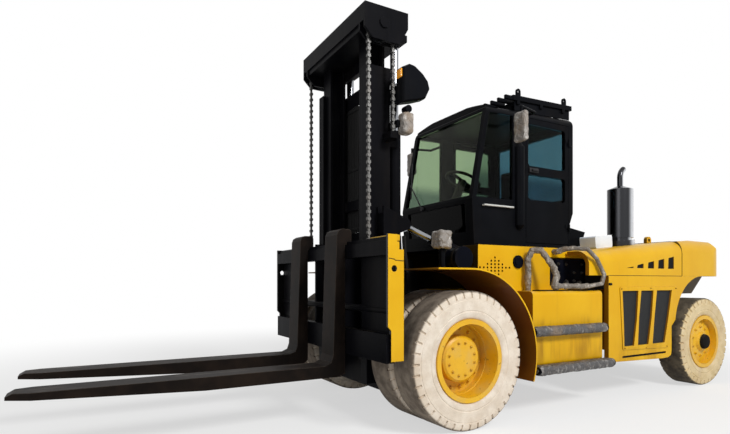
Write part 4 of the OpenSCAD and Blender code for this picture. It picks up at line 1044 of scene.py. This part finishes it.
# %% Pipes on the mast
PIPE_X, PIPE_RADIUS, PIPE_PITCH = 0.275, 0.014, 0.036
pipes = bmesh.new()
for count in range(9):
    y = 0.125 + PIPE_PITCH * count
    for low, high in ((0.765, 1.555), (1.685, 2.955)):
        rod(pipes, spot(PIPE_X, y, low), spot(PIPE_X, y, high), PIPE_RADIUS, 10)
for z in (0.80, 1.52, 1.72, 2.32, 2.92):
    block(pipes, spot(0.262, 0.105, z - 0.012), spot(0.2935, 0.432, z + 0.012), 0.003)
for y, x in ((0.555, 0.185), (0.592, 0.200), (0.560, 0.228)):
    hose = [(x, y, 1.60), (x - 0.01, y, 1.45), (x - 0.03, y + 0.012, 1.25), (x - 0.01, y, 1.02),
            (x + 0.02, y - 0.02, 0.90)]
    wire(pipes, hose, 0.015)
add_piece("mast_pipes", both_sides(pipes), "seal_rubber", "mast_outer")
print("eighteen pipes and six hoses on the outer mast")

# %% [markdown]
# ## Floor and light
# A studio sweep: a pale floor that keeps a soft shadow, a white backdrop that only the camera and
# reflections see, a broad key lamp from the left and a weaker fill from the front.

# %% Floor and light
def straight(s):
    "One on rays from the camera, direct or through gloss and glass, and zero past a dull surface."
    outputs = ("Is Camera Ray", "Is Glossy Ray", "Is Transmission Ray", "Diffuse Depth")
    camera_ray, glossy_ray, passed_ray, dull = [s.node("ShaderNodeLightPath", out=name) for name in outputs]
    seen = camera_ray + glossy_ray + passed_ray
    return seen.smaller(1.0) * (1.0 - dull.smaller(1.0))


floor_bm = bmesh.new()
bmesh.ops.create_grid(floor_bm, x_segments=1, y_segments=1, size=60.0)
floor_mesh = bpy.data.meshes.new("floor")
floor_bm.to_mesh(floor_mesh)
floor_bm.free()
floor = bpy.data.objects.new("floor", floor_mesh)
bpy.context.scene.collection.objects.link(floor)
paper = bpy.data.materials.new("floor_paper")
paper.use_nodes = True
paper.node_tree.nodes.clear()
s = Shade(paper.node_tree)
seen = straight(s)
shadow = s.node("ShaderNodeBsdfDiffuse", None, {"Color": (0.86, 0.86, 0.85, 1)})
white = s.node("ShaderNodeEmission", None, {"Color": (1, 1, 1, 1), "Strength": 1.0})
p = s.place()
away = ((p.along(0) ** 2 + p.along(1) ** 2) ** 0.5).ramp(3.0, 9.0)
mixed = s.node("ShaderNodeMixShader", None, {0: seen * (away * 0.4 + 0.6), 1: shadow, 2: white})
s.node("ShaderNodeOutputMaterial", None, {"Surface": mixed})
floor_mesh.materials.append(paper)

world = bpy.data.worlds.new("studio")
bpy.context.scene.world = world
world.use_nodes = True
world.node_tree.nodes.clear()
s = Shade(world.node_tree)
seen = straight(s)
sky = s.node("ShaderNodeBackground", None, {"Color": (1, 1, 1, 1), "Strength": seen * 0.75 + 0.25})
s.node("ShaderNodeOutputWorld", None, {"Surface": sky})


def lamp(name, place, aim, size, power):
    light = bpy.data.lights.new(name, "AREA")
    light.shape = "DISK"
    light.size = size
    light.energy = power
    made = bpy.data.objects.new(name, light)
    made.location = place
    made.rotation_euler = (Vector(aim) - Vector(place)).to_track_quat("-Z", "Y").to_euler()
    bpy.context.scene.collection.objects.link(made)


lamp("key", (-0.5, 9.0, 7.5), (-0.8, 0.6, 1.2), 3.0, 850)
lamp("fill", (9.0, 5.0, 4.0), (0.5, 0.0, 1.2), 5.0, 110)
print("floor, sky and two lamps")
